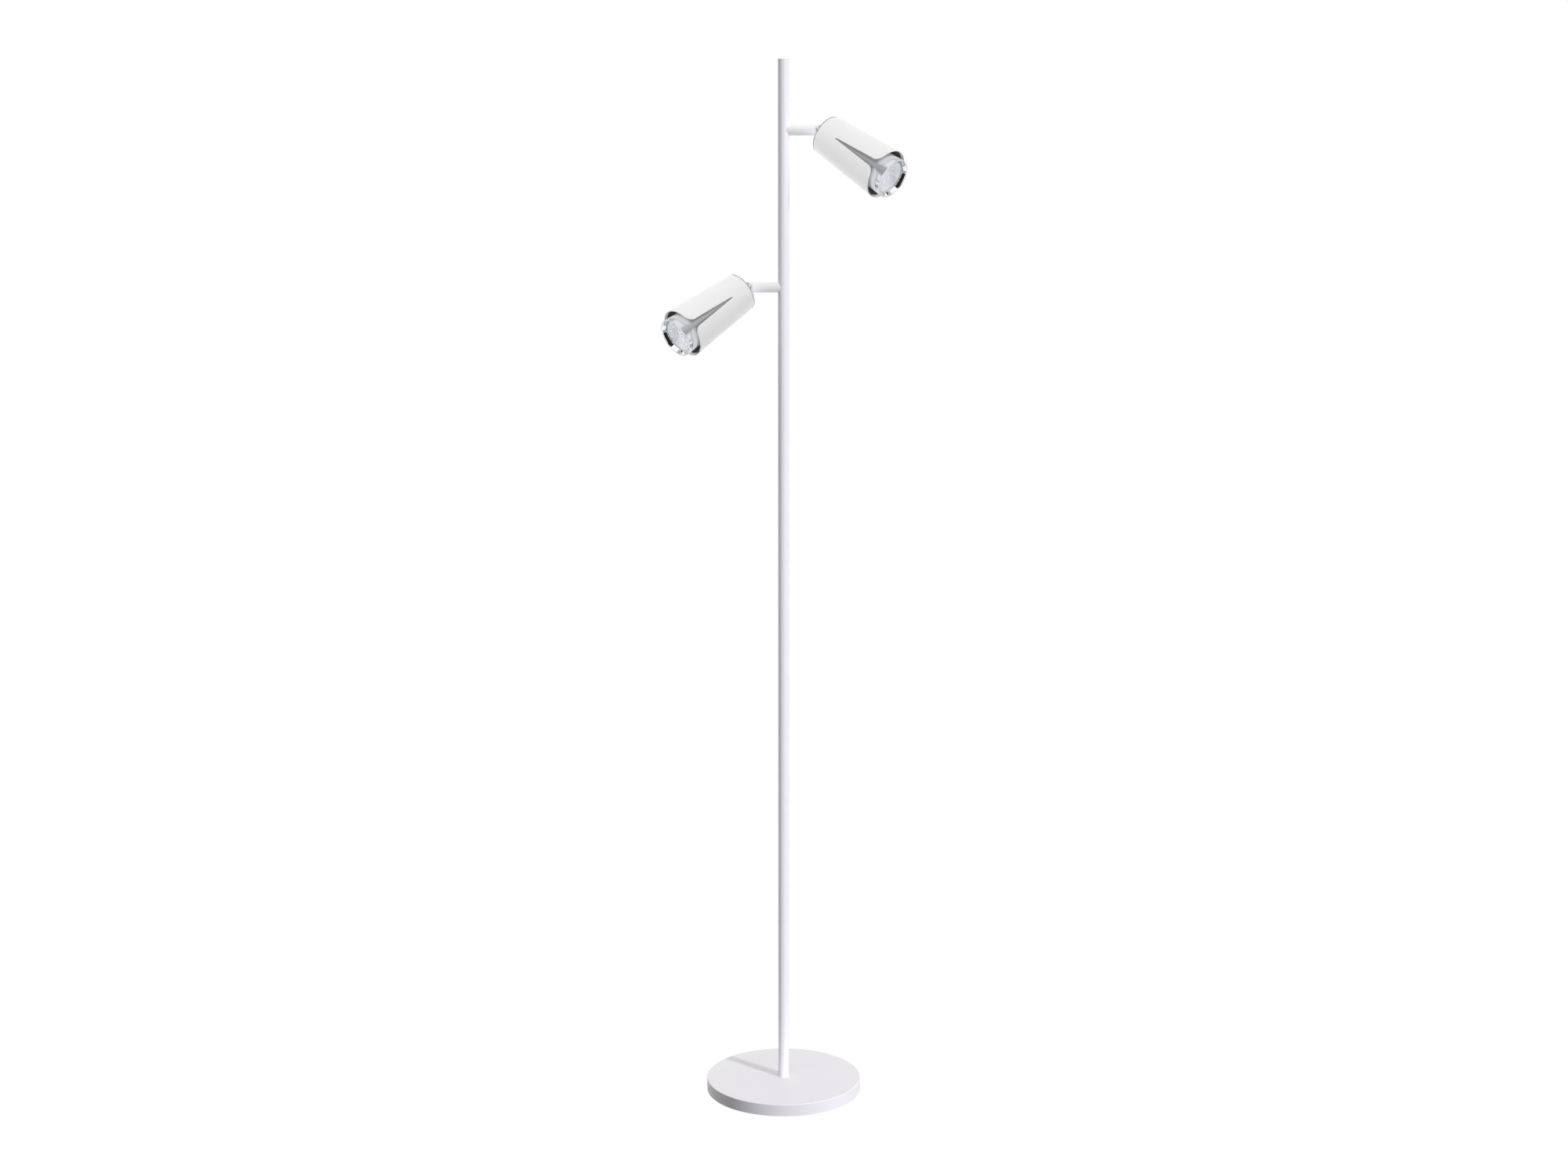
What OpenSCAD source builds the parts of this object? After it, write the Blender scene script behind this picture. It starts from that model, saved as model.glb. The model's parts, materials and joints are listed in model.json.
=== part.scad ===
// Floor lamp with two turning spot heads on one upright pole.
// The pole stands on a weighted disc. Each head hangs on a short arm by a swivel,
// which turns about the arm, and a knuckle hinge, which tips the head away from it.
// Units are millimetres, +Z is up, and the origin is the middle of the base's underside.

/* [Base] */
// Diameter of the base disc
base_d = 235; // [210:1:300]
// Height of the base disc above the floor
base_h = 19; // [17:0.5:30]
// Sheet thickness of the pressed cover
cover_t = 1.5; // [1:0.1:2.5]
// Bevel on the cover's upper edge
cover_bevel = 0.6; // [0.3:0.1:1]
// Gap between the floor and the cover's lower edge
skirt_gap = 0.8; // [0.5:0.1:1.4]
// Height of the rubber ring that the lamp stands on
foot_h = 1.5; // [1.5:0.1:3]
// Middle diameter of the rubber ring
foot_d = 208; // [150:1:210]
// Width of the rubber ring
foot_w = 10; // [6:0.5:14]
// Thickness of the bottom plate
plate_t = 1.5; // [1.5:0.1:2]
// Radius of the circle that the plate screws stand on
plate_screw_r = 88; // [80:1:92]
// Number of plate screws
plate_screw_n = 3; // [3:1:6]

/* [Pole] */
// Overall height of the lamp
lamp_h = 1555; // [1480:1:1800]
// Outer diameter of the pole
pole_d = 16; // [15.5:0.5:20]
// Wall of the pole
pole_wall = 1.2; // [0.8:0.1:1.4]
// Thickness of the cap's visible disc
cap_t = 1; // [0.8:0.1:3]
// Length of the cap's spigot inside the pole
cap_spigot = 8; // [5:0.5:15]
// Length of the threaded plug in the pole's foot
plug_l = 22; // [15:1:40]

/* [Foot fixing] */
// Outer diameter of the hollow stud that holds the pole to the base
stud_d = 10; // [9.5:0.1:10.5]
// Bore of the hollow stud
stud_bore = 8; // [7.5:0.1:8.2]
// How far the stud reaches up into the pole's plug
stud_reach = 18; // [10:1:22]
// Width of the foot nut across its flats
foot_nut_af = 17; // [16:0.5:19]
// Thickness of the foot nut
foot_nut_t = 4; // [3.5:0.1:5]
// Diameter of the foot washer
foot_washer_d = 24; // [20:0.5:28]
// Thickness of the foot washer
foot_washer_t = 1.2; // [1:0.1:1.4]
// Iron left above the nut's recess
weight_web = 3.5; // [3:0.1:4]

/* [Wiring] */
// Diameter of one sheathed lead
lead_d = 3.2; // [2.8:0.1:3.3]
// Distance between the two leads in the pole, middle to middle
lead_pitch = 3.5; // [3.4:0.1:3.6]
// Bend radius of a lead under the stud
lead_foot_bend = 3.2; // [3:0.1:3.2]
// Bend radius of a lead into its arm
lead_arm_bend = 7; // [6:0.5:8]
// Bore of the cable gland in the base
gland_bore = 5.8; // [5:0.1:7]
// Diameter of the gland where it passes the cover
gland_d = 8; // [7.6:0.1:9]
// Diameter of the gland's flange inside the cover
gland_flange_d = 12; // [11:0.1:12.4]
// Thickness of the gland's flange
gland_flange_t = 2; // [1.5:0.1:3]
// Distance from the floor to the gland's middle
gland_z = 9.8; // [9.5:0.1:10]
// Width of the terminal block
terminal_w = 18; // [14:0.5:22]
// Length of the terminal block
terminal_l = 24; // [18:0.5:30]
// Height of the terminal block
terminal_h = 9; // [8:0.5:10]
// Distance from the pole's axis to the terminal block
terminal_y = 46; // [40:1:60]
// Width of the channel for cables in the weight
channel_w = 14; // [13.5:0.5:18]

/* [Arms] */
// Height of the upper arm's axis
upper_arm_z = 1454; // [1400:1:1600]
// Height of the lower arm's axis
lower_arm_z = 1229; // [900:1:1230]
// Outer diameter of an arm
arm_d = 14.5; // [14:0.1:15]
// Wall of an arm
arm_wall = 1.25; // [1:0.05:1.3]
// Distance from the pole's axis to the tilt pin
pivot_reach = 53; // [50:0.5:80]
// Diameter of the nylon bush that lines the cable hole in the pole
cable_bush_d = 10; // [9:0.1:10.4]
// Bore of that bush
cable_bush_bore = 6.6; // [6:0.1:7]
// How far that bush reaches into the arm
cable_bush_l = 9; // [6:0.5:14]

/* [Swivel] */
// How far each head is turned about its arm, from straight down towards the front
swivel = 51.5; // [-90:0.5:90]
// Diameter of the swivel's stem
stem_d = 8; // [7.6:0.1:8.4]
// Bore of the stem, for the lead
stem_bore = 4.6; // [4.4:0.1:5]
// Length of the brass bush that the stem turns in
swivel_bush_l = 10; // [8:0.5:14]
// Thickness of the collar that closes the arm's end
collar_t = 1.2; // [1:0.1:2.5]
// Width of the swivel nut across its flats
swivel_nut_af = 9.8; // [9.4:0.1:9.9]
// Thickness of the swivel nut
swivel_nut_t = 3; // [2.5:0.1:4]
// Thickness of the swivel washer
swivel_washer_t = 0.6; // [0.5:0.1:1]

/* [Knuckle] */
// How far each head is tipped away from its arm's line
tilt = 46; // [0:0.5:90]
// Radius of the rounded ears and tongue
eye_r = 5.8; // [5.6:0.1:6]
// Thickness of the tongue
tongue_t = 4; // [3.5:0.1:4.5]
// Thickness of each friction washer
friction_t = 0.4; // [0.3:0.1:0.6]
// Thickness of each ear
ear_t = 3.5; // [3.3:0.1:4.5]
// Diameter of the hinge screw
hinge_d = 4; // [3.8:0.1:4.1]
// Diameter of the hinge screw's head
hinge_head_d = 7; // [6.6:0.1:7.6]
// Height of the hinge screw's head
hinge_head_h = 2.3; // [2:0.1:2.5]
// Width of the hinge nut across its flats
hinge_nut_af = 7; // [6.6:0.1:7.4]
// Thickness of the hinge nut
hinge_nut_t = 2.2; // [2:0.1:2.4]

/* [Head] */
// Distance from the tilt pin to the shade's back edge
shade_setback = 15; // [14.5:0.5:20]
// Length of the shade
shade_l = 117; // [114:1:150]
// Diameter of the shade's back edge
shade_back_d = 57.6; // [56.5:0.1:60]
// Diameter of the shade's front edge
shade_front_d = 74; // [71:0.5:82]
// Sheet thickness of the shade
shade_t = 1.2; // [0.8:0.1:1.4]
// Thickness of the chromed ring behind the shade
back_ring_t = 1.6; // [1.2:0.1:2]
// Distance from the tilt pin to the back cap's flat
cap_setback = 8.6; // [8.2:0.1:9.2]
// Thickness of the back cap's floor
cap_floor_t = 3.4; // [3:0.1:3.6]
// How far the silver barrel stands out of the shade
barrel_proud = 14; // [8:0.5:20]
// Diameter of the barrel's front edge
barrel_front_d = 59; // [58:0.5:62]
// Diameter of the barrel's back edge
barrel_back_d = 41; // [40:0.5:44]
// Wall of the barrel
barrel_t = 1.2; // [0.8:0.1:1.4]
// Depth of the polished mouth in front of the lamp
mouth_depth = 6.4; // [5:0.2:9]

/* [Slit] */
// Direction of the shade's slit about the head, from the side that faces the pole
slit_turn = 54.5; // [0:0.5:90]
// Length of the slit, from the shade's front edge
slit_l = 83.5; // [60:0.5:100]
// Width of the slit at its pointed end
slit_tip_w = 1.4; // [1:0.1:3]
// Width of the slit where its corners start to flare
slit_neck_w = 10.6; // [6:0.1:14]
// Radius of the flared corners at the front edge
slit_flare_r = 13; // [6:0.5:14]

/* [Lamp] */
// Diameter of the reflector lamp
lamp_d = 50; // [48:0.5:50.4]
// Length of the reflector lamp without its pins
lamp_l = 47; // [44:0.5:50]
// Diameter of the lamp's cap
lamp_cap_d = 27; // [24:0.5:28]
// Diameter of the lens
lens_d = 47; // [44:0.5:47.4]
// Number of ring-shaped steps on the lens
lens_rings = 4; // [2:1:5]
// Distance between the lamp's pins
pin_pitch = 10; // [9.5:0.1:10.5]
// Diameter of the lampholder
holder_d = 29; // [28:0.5:31]
// Height of the lampholder
holder_h = 13; // [11:0.5:15]
// Width of the holder's bracket
bracket_w = 12; // [10:0.5:14]
// Sheet thickness of the holder's bracket
bracket_t = 1.2; // [1:0.1:1.6]

/* [Hidden] */
$fn = 96;

UPPER = 1;
LOWER = -1;

// clearances
fit = 0.05;      // between pieces that are pressed, screwed or set together
run = 0.05;      // radial, between a shaft and the bore that it turns in
swing = 0.3;     // between pieces that move past each other
cut = 1;         // how far a cutter runs past the solid

// colours of the finishes
painted_white = [0.95, 0.95, 0.96];
satin_silver = [0.68, 0.70, 0.72];
bright_metal = [0.85, 0.86, 0.88];
zinc = [0.62, 0.64, 0.66];
iron = [0.25, 0.25, 0.26];
brass = [0.80, 0.66, 0.35];
black_rubber = [0.12, 0.12, 0.12];
nylon = [0.92, 0.91, 0.86];
ceramic = [0.94, 0.92, 0.88];
clear_lens = [0.86, 0.90, 0.94, 0.5];

// base, worked out from the floor upwards
base_r = base_d / 2;
cover_under = base_h - cover_t;
cover_in_r = base_r - cover_t;
plate_top = foot_h + plate_t;
weight_r = cover_in_r - 10 * fit;
weight_bottom = plate_top + fit;
weight_top = cover_under - fit;
recess_top = weight_top - weight_web;
recess_r = foot_washer_d / 2 + 3;
stud_hole_r = stud_d / 2 + swing;
foot_washer_z = recess_top - fit - foot_washer_t;
foot_nut_z = foot_washer_z - fit - foot_nut_t;
stud_z = foot_nut_z - 0.6;
channel_top = gland_z + gland_flange_d / 2 + 0.5;
plate_screw_d = 4;
plate_screw_head_d = 8;
plate_screw_l = 9;
terminal_room = 1;

// pole
pole_r = pole_d / 2;
pole_in_r = pole_r - pole_wall;
pole_z = base_h + fit;
pole_top = lamp_h - cap_t;

// wiring
lead_r = lead_d / 2;
lead_floor_z = stud_z - lead_foot_bend;

// arm, swivel and knuckle, measured along the arm's axis from the tilt pin
arm_r = arm_d / 2;
arm_in_r = arm_r - arm_wall;
collar_front = -(eye_r + swing);
collar_back = collar_front - collar_t;
arm_end = collar_back - swing;
bush_back = arm_end - swivel_bush_l;
washer_back = bush_back - 3 * fit - swivel_washer_t;
nut_back = washer_back - fit - swivel_nut_t;
stem_back = nut_back - 1;
stem_r = stem_d / 2;
stem_bore_l = -stem_back + collar_back - 1;
lead_end = stem_back + 12;
tongue_half = tongue_t / 2;
washer_face = tongue_half + fit;
ear_in = washer_face + friction_t + fit;
ear_out = ear_in + ear_t;
hinge_r = hinge_d / 2;
hinge_hole_r = hinge_r + run;
head_pocket = hinge_head_h + 0.2;
nut_pocket = hinge_nut_t + 0.2;
hinge_head_seat = -ear_out + head_pocket - fit;

// head, measured along its axis from the tilt pin
shade_back = shade_setback;
shade_front = shade_back + shade_l;
shade_slope = (shade_front_d - shade_back_d) / 2 / shade_l;
function shade_r(z) = shade_back_d / 2 + shade_slope * (z - shade_back);
ring_back = shade_back - fit - back_ring_t;
ring_in_r = shade_back_d / 2 - shade_t - 0.7;
cap_r = ring_in_r - fit;
cap_spigot_r = shade_back_d / 2 - shade_t - 4 * fit;
cap_spigot_l = 6;
cap_flat_r = 10;
cap_floor = cap_setback + cap_floor_t;
barrel_back = shade_back + 3;
barrel_front = shade_front + barrel_proud;
barrel_slope = (barrel_front_d - barrel_back_d) / 2 / (barrel_front - barrel_back);
function barrel_r(z) = barrel_back_d / 2 + barrel_slope * (z - barrel_back);
function barrel_in_r(z) = barrel_r(z) - barrel_t;
barrel_spigot_r = barrel_back_d / 2 - barrel_t - 2 * fit;
barrel_spigot_l = 5;
pocket_r = barrel_spigot_r - 2.6;

// mouth and lamp
mouth_front = barrel_front - 0.3;
mouth_seat = barrel_front - mouth_depth;
mouth_lip_t = 1.6;
mouth_land = 0.4;
mouth_wall = 0.5;
lamp_front = mouth_seat - 0.2;
lamp_r = lamp_d / 2;
lamp_back = lamp_front - lamp_l;
lamp_rim_l = 4;
lamp_neck_l = lamp_l * 0.36;
mouth_bore_r = lamp_r + 3 * fit;
lens_t = 2.4;
lens_pit_r = 4;
lens_step = 0.6;
lens_pit = 1.4;
lens_under = lamp_front - lens_t;
lens_ledge = 2;
lens_cone_r = lens_d / 2 - lens_ledge;
lens_foot_r = 5.5;
lens_bowl_l = 11.6;
lens_foot = lens_under - lens_bowl_l;
lens_cavity_r = 3.4;
lens_cavity_l = 4.5;
lens_room = 0.35;
chip_t = 1;
chip_top = lens_foot - fit;
chip_seat = chip_top - chip_t - fit;
emitter_r = 2.6;
emitter_t = 0.5;
pin_l = 7;
pin_r = 1.6;
pin_foot_r = 2.4;
pin_foot_l = 2.4;

// the lens's back, a bowl that opens from its foot at t = 0 to its ledge at t = 1
function lens_back(t, room) = [
    sqrt(pow(lens_foot_r, 2) + (pow(lens_cone_r, 2) - pow(lens_foot_r, 2)) * t) + room,
    lens_foot + (lens_under - lens_foot) * t
];

// lampholder and its bracket
holder_front = lamp_back - fit;
holder_back = holder_front - holder_h;
bracket_top = holder_back - fit;
bracket_leg_y = 13;
bracket_screw_y = 9;
bracket_foot_l = 8;
m3_r = 1.5;
m3_head_r = 2.7;
m3_head_h = 1.8;
holder_screw_l = 7;
cap_screw_l = 2;
head_lead_x = 9.6;

// ---------------------------------------------------------------- places

function arm_z(side) = side == UPPER ? upper_arm_z : lower_arm_z;

// arm's frame: origin on the pole's axis, X out along the arm
module at_arm(side)
    translate([0, 0, arm_z(side)]) rotate([0, 0, side == UPPER ? 0 : 180]) children();

// knuckle's frame: origin at the tilt pin, X out along the arm, turned with the swivel
module at_knuckle(side)
    at_arm(side) translate([pivot_reach, 0, 0]) rotate([-side * swivel, 0, 0]) children();

// head's frame: origin at the tilt pin, Z forward along the head, Y along the pin
module at_head(side)
    at_knuckle(side) rotate([0, tilt + 90, 0]) children();

// a round bar along +X
module bar_x(r, from, to)
    translate([from, 0, 0]) rotate([0, 90, 0]) cylinder(r = r, h = to - from);

// a round bar along +Y
module bar_y(r, from, to)
    translate([0, from, 0]) rotate([-90, 0, 0]) cylinder(r = r, h = to - from);

module ring(outer_r, inner_r, h)
    difference() {
        cylinder(r = outer_r, h = h);
        translate([0, 0, -cut]) cylinder(r = inner_r, h = h + 2 * cut);
    }

// ---------------------------------------------------------------- base

module base_cover()
    color(painted_white)
    difference() {
        rotate_extrude()
            polygon([
                [stud_hole_r, cover_under],
                [cover_in_r, cover_under],
                [cover_in_r, skirt_gap],
                [base_r, skirt_gap],
                [base_r, base_h - cover_bevel],
                [base_r - cover_bevel, base_h],
                [stud_hole_r, base_h]
            ]);
        translate([0, 0, gland_z]) bar_y(gland_d / 2 + fit, cover_in_r - 2 * cut, base_r + cut);
    }

module at_plate_screws()
    for (i = [0 : plate_screw_n - 1])
        rotate([0, 0, -90 + i * 360 / plate_screw_n]) translate([plate_screw_r, 0, 0]) children();

// room under the weight for the nut, the terminal block and the cables
module base_recesses() {
    translate([0, 0, weight_bottom - cut]) cylinder(r = recess_r, h = recess_top - weight_bottom + cut);
    translate([-channel_w / 2, 0, weight_bottom - cut])
        cube([channel_w, base_r, channel_top - weight_bottom + cut]);
    translate([
        -terminal_w / 2 - terminal_room,
        terminal_y - terminal_room,
        weight_bottom - cut
    ])
        cube([
            terminal_w + 2 * terminal_room,
            terminal_l + 2 * terminal_room,
            terminal_h + terminal_room + cut
        ]);
}

module base_weight()
    color(iron)
    difference() {
        translate([0, 0, weight_bottom]) cylinder(r = weight_r, h = weight_top - weight_bottom);
        translate([0, 0, weight_bottom]) cylinder(r = stud_hole_r, h = weight_top);
        base_recesses();
        at_plate_screws()
            translate([0, 0, weight_bottom - cut])
                cylinder(r = plate_screw_d / 2 + fit, h = plate_screw_l);
    }

module bottom_plate()
    color(zinc)
    difference() {
        translate([0, 0, foot_h]) cylinder(r = cover_in_r - swing, h = plate_t);
        at_plate_screws()
            translate([0, 0, foot_h - fit])
                cylinder(
                    r1 = plate_screw_head_d / 2 + 2 * fit,
                    r2 = plate_screw_d / 2 + 2 * fit,
                    h = plate_t + 2 * fit
                );
    }

module plate_screws()
    color(zinc)
    at_plate_screws()
        translate([0, 0, foot_h])
            rotate_extrude()
                polygon([
                    [0, 0],
                    [plate_screw_head_d / 2, 0],
                    [plate_screw_d / 2, plate_t],
                    [plate_screw_d / 2, plate_screw_l - 0.5],
                    [0, plate_screw_l - 0.5]
                ]);

module foot_ring()
    color(black_rubber)
    ring(foot_d / 2 + foot_w / 2, foot_d / 2 - foot_w / 2, foot_h);

module cable_gland()
    color(black_rubber)
    translate([0, 0, gland_z])
        difference() {
            union() {
                bar_y(gland_d / 2, cover_in_r - gland_flange_t, base_r - 2 * fit);
                bar_y(gland_flange_d / 2, cover_in_r - gland_flange_t - 3 * fit, cover_in_r - 3 * fit);
            }
            bar_y(gland_bore / 2, cover_in_r - gland_flange_t - cut, base_r + cut);
        }

module terminal_block()
    color(nylon)
    difference() {
        translate([-terminal_w / 2, terminal_y, weight_bottom + fit])
            cube([terminal_w, terminal_l, terminal_h]);
        for (x = [-1, 0, 1])
            translate([x * terminal_w / 3, terminal_y - cut, weight_bottom + terminal_h * 0.6])
                bar_y(1.6, 0, terminal_l + 2 * cut);
        for (x = [-1, 0, 1], y = [0.25, 0.75])
            translate([
                x * terminal_w / 3,
                terminal_y + y * terminal_l,
                weight_bottom + terminal_h * 0.6
            ])
                cylinder(r = 1.4, h = terminal_h);
    }

// ---------------------------------------------------------------- pole

module pole_stud()
    color(zinc)
    translate([0, 0, stud_z]) ring(stud_d / 2, stud_bore / 2, base_h + stud_reach - stud_z);

module foot_nut()
    color(zinc)
    translate([0, 0, foot_nut_z])
        difference() {
            cylinder(d = foot_nut_af / cos(30), h = foot_nut_t, $fn = 6);
            translate([0, 0, -cut]) cylinder(r = stud_d / 2 + fit, h = foot_nut_t + 2 * cut);
        }

module foot_washer()
    color(zinc)
    translate([0, 0, foot_washer_z]) ring(foot_washer_d / 2, stud_d / 2 + 3 * fit, foot_washer_t);

module pole_plug()
    color(zinc)
    translate([0, 0, pole_z]) ring(pole_in_r - fit, stud_d / 2 + fit, plug_l);

module pole_tube()
    color(painted_white)
    difference() {
        translate([0, 0, pole_z]) ring(pole_r, pole_in_r, pole_top - pole_z);
        for (side = [UPPER, LOWER])
            at_arm(side) bar_x(cable_bush_d / 2 + fit, 0, pole_r + cut);
    }

module pole_cap()
    color(painted_white)
    rotate_extrude()
        polygon([
            [0, pole_top - cap_spigot],
            [pole_in_r - 2 * fit, pole_top - cap_spigot],
            [pole_in_r - 2 * fit, pole_top + fit],
            [pole_r, pole_top + fit],
            [pole_r, lamp_h - 0.2],
            [pole_r - 0.2, lamp_h],
            [0, lamp_h]
        ]);

// a quarter bend of a lead: starts at the origin going up, ends going out along +X
module lead_bend(bend_r)
    translate([bend_r, 0, 0])
        rotate([90, 0, 0])
            rotate_extrude(angle = -90, start = 180)
                translate([bend_r, 0]) circle(r = lead_r);

// sheathed lead from the terminal block, up the pole and along one arm
module lead(side)
    color(nylon) {
        x = side * lead_pitch / 2;
        translate([x, lead_foot_bend, lead_floor_z])
            bar_y(lead_r, 0, terminal_y - 3 * fit - lead_foot_bend);
        translate([x, 0, stud_z])
            rotate([0, 0, 90]) mirror([0, 0, 1]) lead_bend(lead_foot_bend);
        translate([x, 0, stud_z])
            cylinder(r = lead_r, h = arm_z(side) - lead_arm_bend - stud_z);
        at_arm(side)
            translate([lead_pitch / 2, 0, -lead_arm_bend]) lead_bend(lead_arm_bend);
        at_arm(side)
            bar_x(lead_r, lead_pitch / 2 + lead_arm_bend, pivot_reach + lead_end);
    }

// ---------------------------------------------------------------- arms

module arm()
    color(painted_white)
    difference() {
        bar_x(arm_r, 0, pivot_reach + arm_end);
        bar_x(arm_in_r, -cut, pivot_reach + arm_end + cut);
        translate([0, 0, -arm_d]) cylinder(r = pole_r + fit, h = 2 * arm_d);
    }

module cable_bush()
    color(nylon)
    difference() {
        bar_x(cable_bush_d / 2, pole_in_r - 1, pole_r + cable_bush_l);
        bar_x(cable_bush_bore / 2, 0, pole_r + cable_bush_l + cut);
    }

module swivel_bush()
    color(brass)
    difference() {
        bar_x(arm_in_r - fit, pivot_reach + bush_back, pivot_reach + arm_end);
        bar_x(stem_r + run, pivot_reach + bush_back - cut, pivot_reach + arm_end + cut);
    }

// ---------------------------------------------------------------- swivel and knuckle

module swivel_stem()
    color(painted_white)
    difference() {
        union() {
            bar_x(stem_r, stem_back, collar_back);
            bar_x(arm_r, collar_back, collar_front);
            translate([collar_front, -tongue_half, -eye_r])
                cube([-collar_front, tongue_t, 2 * eye_r]);
            bar_y(eye_r, -tongue_half, tongue_half);
        }
        bar_x(stem_bore / 2, stem_back - cut, stem_back + stem_bore_l);
        bar_y(hinge_hole_r, -tongue_t, tongue_t);
    }

module swivel_nut()
    color(zinc)
    difference() {
        translate([nut_back, 0, 0]) rotate([0, 90, 0])
            cylinder(d = swivel_nut_af / cos(30), h = swivel_nut_t, $fn = 6);
        bar_x(stem_r + fit, nut_back - cut, nut_back + swivel_nut_t + cut);
    }

module swivel_washer()
    color(zinc)
    translate([washer_back, 0, 0]) rotate([0, 90, 0])
        ring(arm_in_r - swing - fit, stem_r + fit, swivel_washer_t);

module friction_washers()
    color(nylon)
    for (y = [washer_face, -washer_face - friction_t])
        translate([0, y, 0]) rotate([-90, 0, 0]) ring(eye_r - 0.3, hinge_hole_r + fit, friction_t);

module hinge_screw()
    color(zinc)
    difference() {
        union() {
            bar_y(hinge_r, hinge_head_seat, ear_out - 0.2);
            bar_y(hinge_head_d / 2, hinge_head_seat - hinge_head_h, hinge_head_seat);
        }
        // hexagon socket in the head
        translate([0, -ear_out - cut, 0]) rotate([-90, 0, 0])
            cylinder(d = 2.5 / cos(30), h = cut + 1.4, $fn = 6);
    }

module hinge_nut()
    color(zinc)
    difference() {
        translate([0, ear_out - nut_pocket + fit, 0]) rotate([-90, 0, 0])
            cylinder(d = hinge_nut_af / cos(30), h = hinge_nut_t, $fn = 6);
        bar_y(hinge_hole_r, 0, ear_out + cut);
    }

// ---------------------------------------------------------------- head

// a domed disc that closes the barrel and carries the shade, with two ears for the hinge
module back_cap()
    color(painted_white)
    difference() {
        union() {
            rotate_extrude() cap_profile();
            for (y = [-ear_out, ear_in]) {
                translate([-eye_r, y, 0]) cube([2 * eye_r, ear_t, cap_setback + 1]);
                bar_y(eye_r, y, y + ear_t);
            }
        }
        bar_y(hinge_hole_r, -ear_out - cut, ear_out + cut);
        bar_y(hinge_head_d / 2 + 2 * fit, -ear_out - cut, -ear_out + head_pocket);
        translate([0, ear_out - nut_pocket, 0]) rotate([-90, 0, 0])
            cylinder(d = (hinge_nut_af + 4 * fit) / cos(30), h = nut_pocket + cut, $fn = 6);
        for (y = [-bracket_screw_y, bracket_screw_y])
            translate([0, y, cap_floor - cap_screw_l - fit]) cylinder(r = m3_r + fit, h = cap_screw_l + cut);
        translate([head_lead_x, 0, cap_setback - cut])
            cylinder(r = lead_r + 2 * fit, h = cap_floor_t + 2 * cut);
    }

module cap_profile()
    polygon([
        [0, cap_setback],
        [cap_flat_r, cap_setback],
        for (a = [15 : 15 : 90])
            [
                cap_flat_r + (cap_r - cap_flat_r) * sin(a),
                cap_setback + (ring_back - cap_setback) * (1 - cos(a))
            ],
        [cap_r, shade_back + fit],
        [cap_spigot_r, shade_back + fit],
        [cap_spigot_r, shade_back + cap_spigot_l],
        [barrel_back_d / 2 + 2, shade_back + cap_spigot_l],
        [barrel_back_d / 2 + 2, barrel_back - fit],
        [barrel_spigot_r, barrel_back - fit],
        [barrel_spigot_r, barrel_back + barrel_spigot_l],
        [pocket_r, barrel_back + barrel_spigot_l],
        [pocket_r, cap_floor],
        [0, cap_floor]
    ]);

module back_ring()
    color(bright_metal)
    rotate_extrude()
        polygon([
            [ring_in_r, ring_back],
            [shade_back_d / 2 - 0.4, ring_back],
            [shade_back_d / 2, ring_back + 0.4],
            [shade_back_d / 2, ring_back + back_ring_t],
            [ring_in_r, ring_back + back_ring_t]
        ]);

// outline of the slit, laid out flat: a long V whose corners flare into the front edge
module slit_outline() {
    tip = shade_front - slit_l + slit_tip_w / 2;
    neck = shade_front - slit_flare_r;
    mouth_w = slit_neck_w + 2 * slit_flare_r;
    translate([0, tip]) circle(d = slit_tip_w);
    polygon([
        [-slit_tip_w / 2, tip],
        [slit_tip_w / 2, tip],
        [slit_neck_w / 2, neck],
        [slit_neck_w / 2, shade_front + cut],
        [-slit_neck_w / 2, shade_front + cut],
        [-slit_neck_w / 2, neck]
    ]);
    difference() {
        translate([-mouth_w / 2, neck]) square([mouth_w, slit_flare_r + cut]);
        for (x = [-mouth_w / 2, mouth_w / 2]) translate([x, neck]) circle(r = slit_flare_r);
    }
}

// flared shade: an open cone with one V slit on the side that faces the front
module shade(side)
    color(painted_white)
    difference() {
        rotate_extrude()
            polygon([
                [shade_r(shade_back) - shade_t, shade_back],
                [shade_r(shade_back), shade_back],
                [shade_r(shade_front), shade_front],
                [shade_r(shade_front) - shade_t, shade_front]
            ]);
        rotate([0, 0, -side * slit_turn])
            rotate([90, 0, 90])
                linear_extrude(height = shade_front_d) slit_outline();
    }

module barrel()
    color(satin_silver)
    rotate_extrude()
        polygon([
            [barrel_in_r(barrel_back), barrel_back],
            [barrel_r(barrel_back), barrel_back],
            [barrel_r(barrel_front), barrel_front],
            [barrel_in_r(barrel_front), barrel_front]
        ]);

// polished funnel in the barrel's mouth, whose bore holds the lamp's rim
module mouth_ring()
    color(bright_metal)
    rotate_extrude()
        polygon([
            [barrel_in_r(mouth_seat - mouth_lip_t) - 2 * fit, mouth_seat - mouth_lip_t],
            [barrel_in_r(mouth_front) - 2 * fit, mouth_front],
            [barrel_in_r(mouth_front) - 2 * fit - mouth_wall, mouth_front],
            [mouth_bore_r, mouth_seat + mouth_land],
            [mouth_bore_r, mouth_seat - mouth_lip_t]
        ]);

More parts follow.
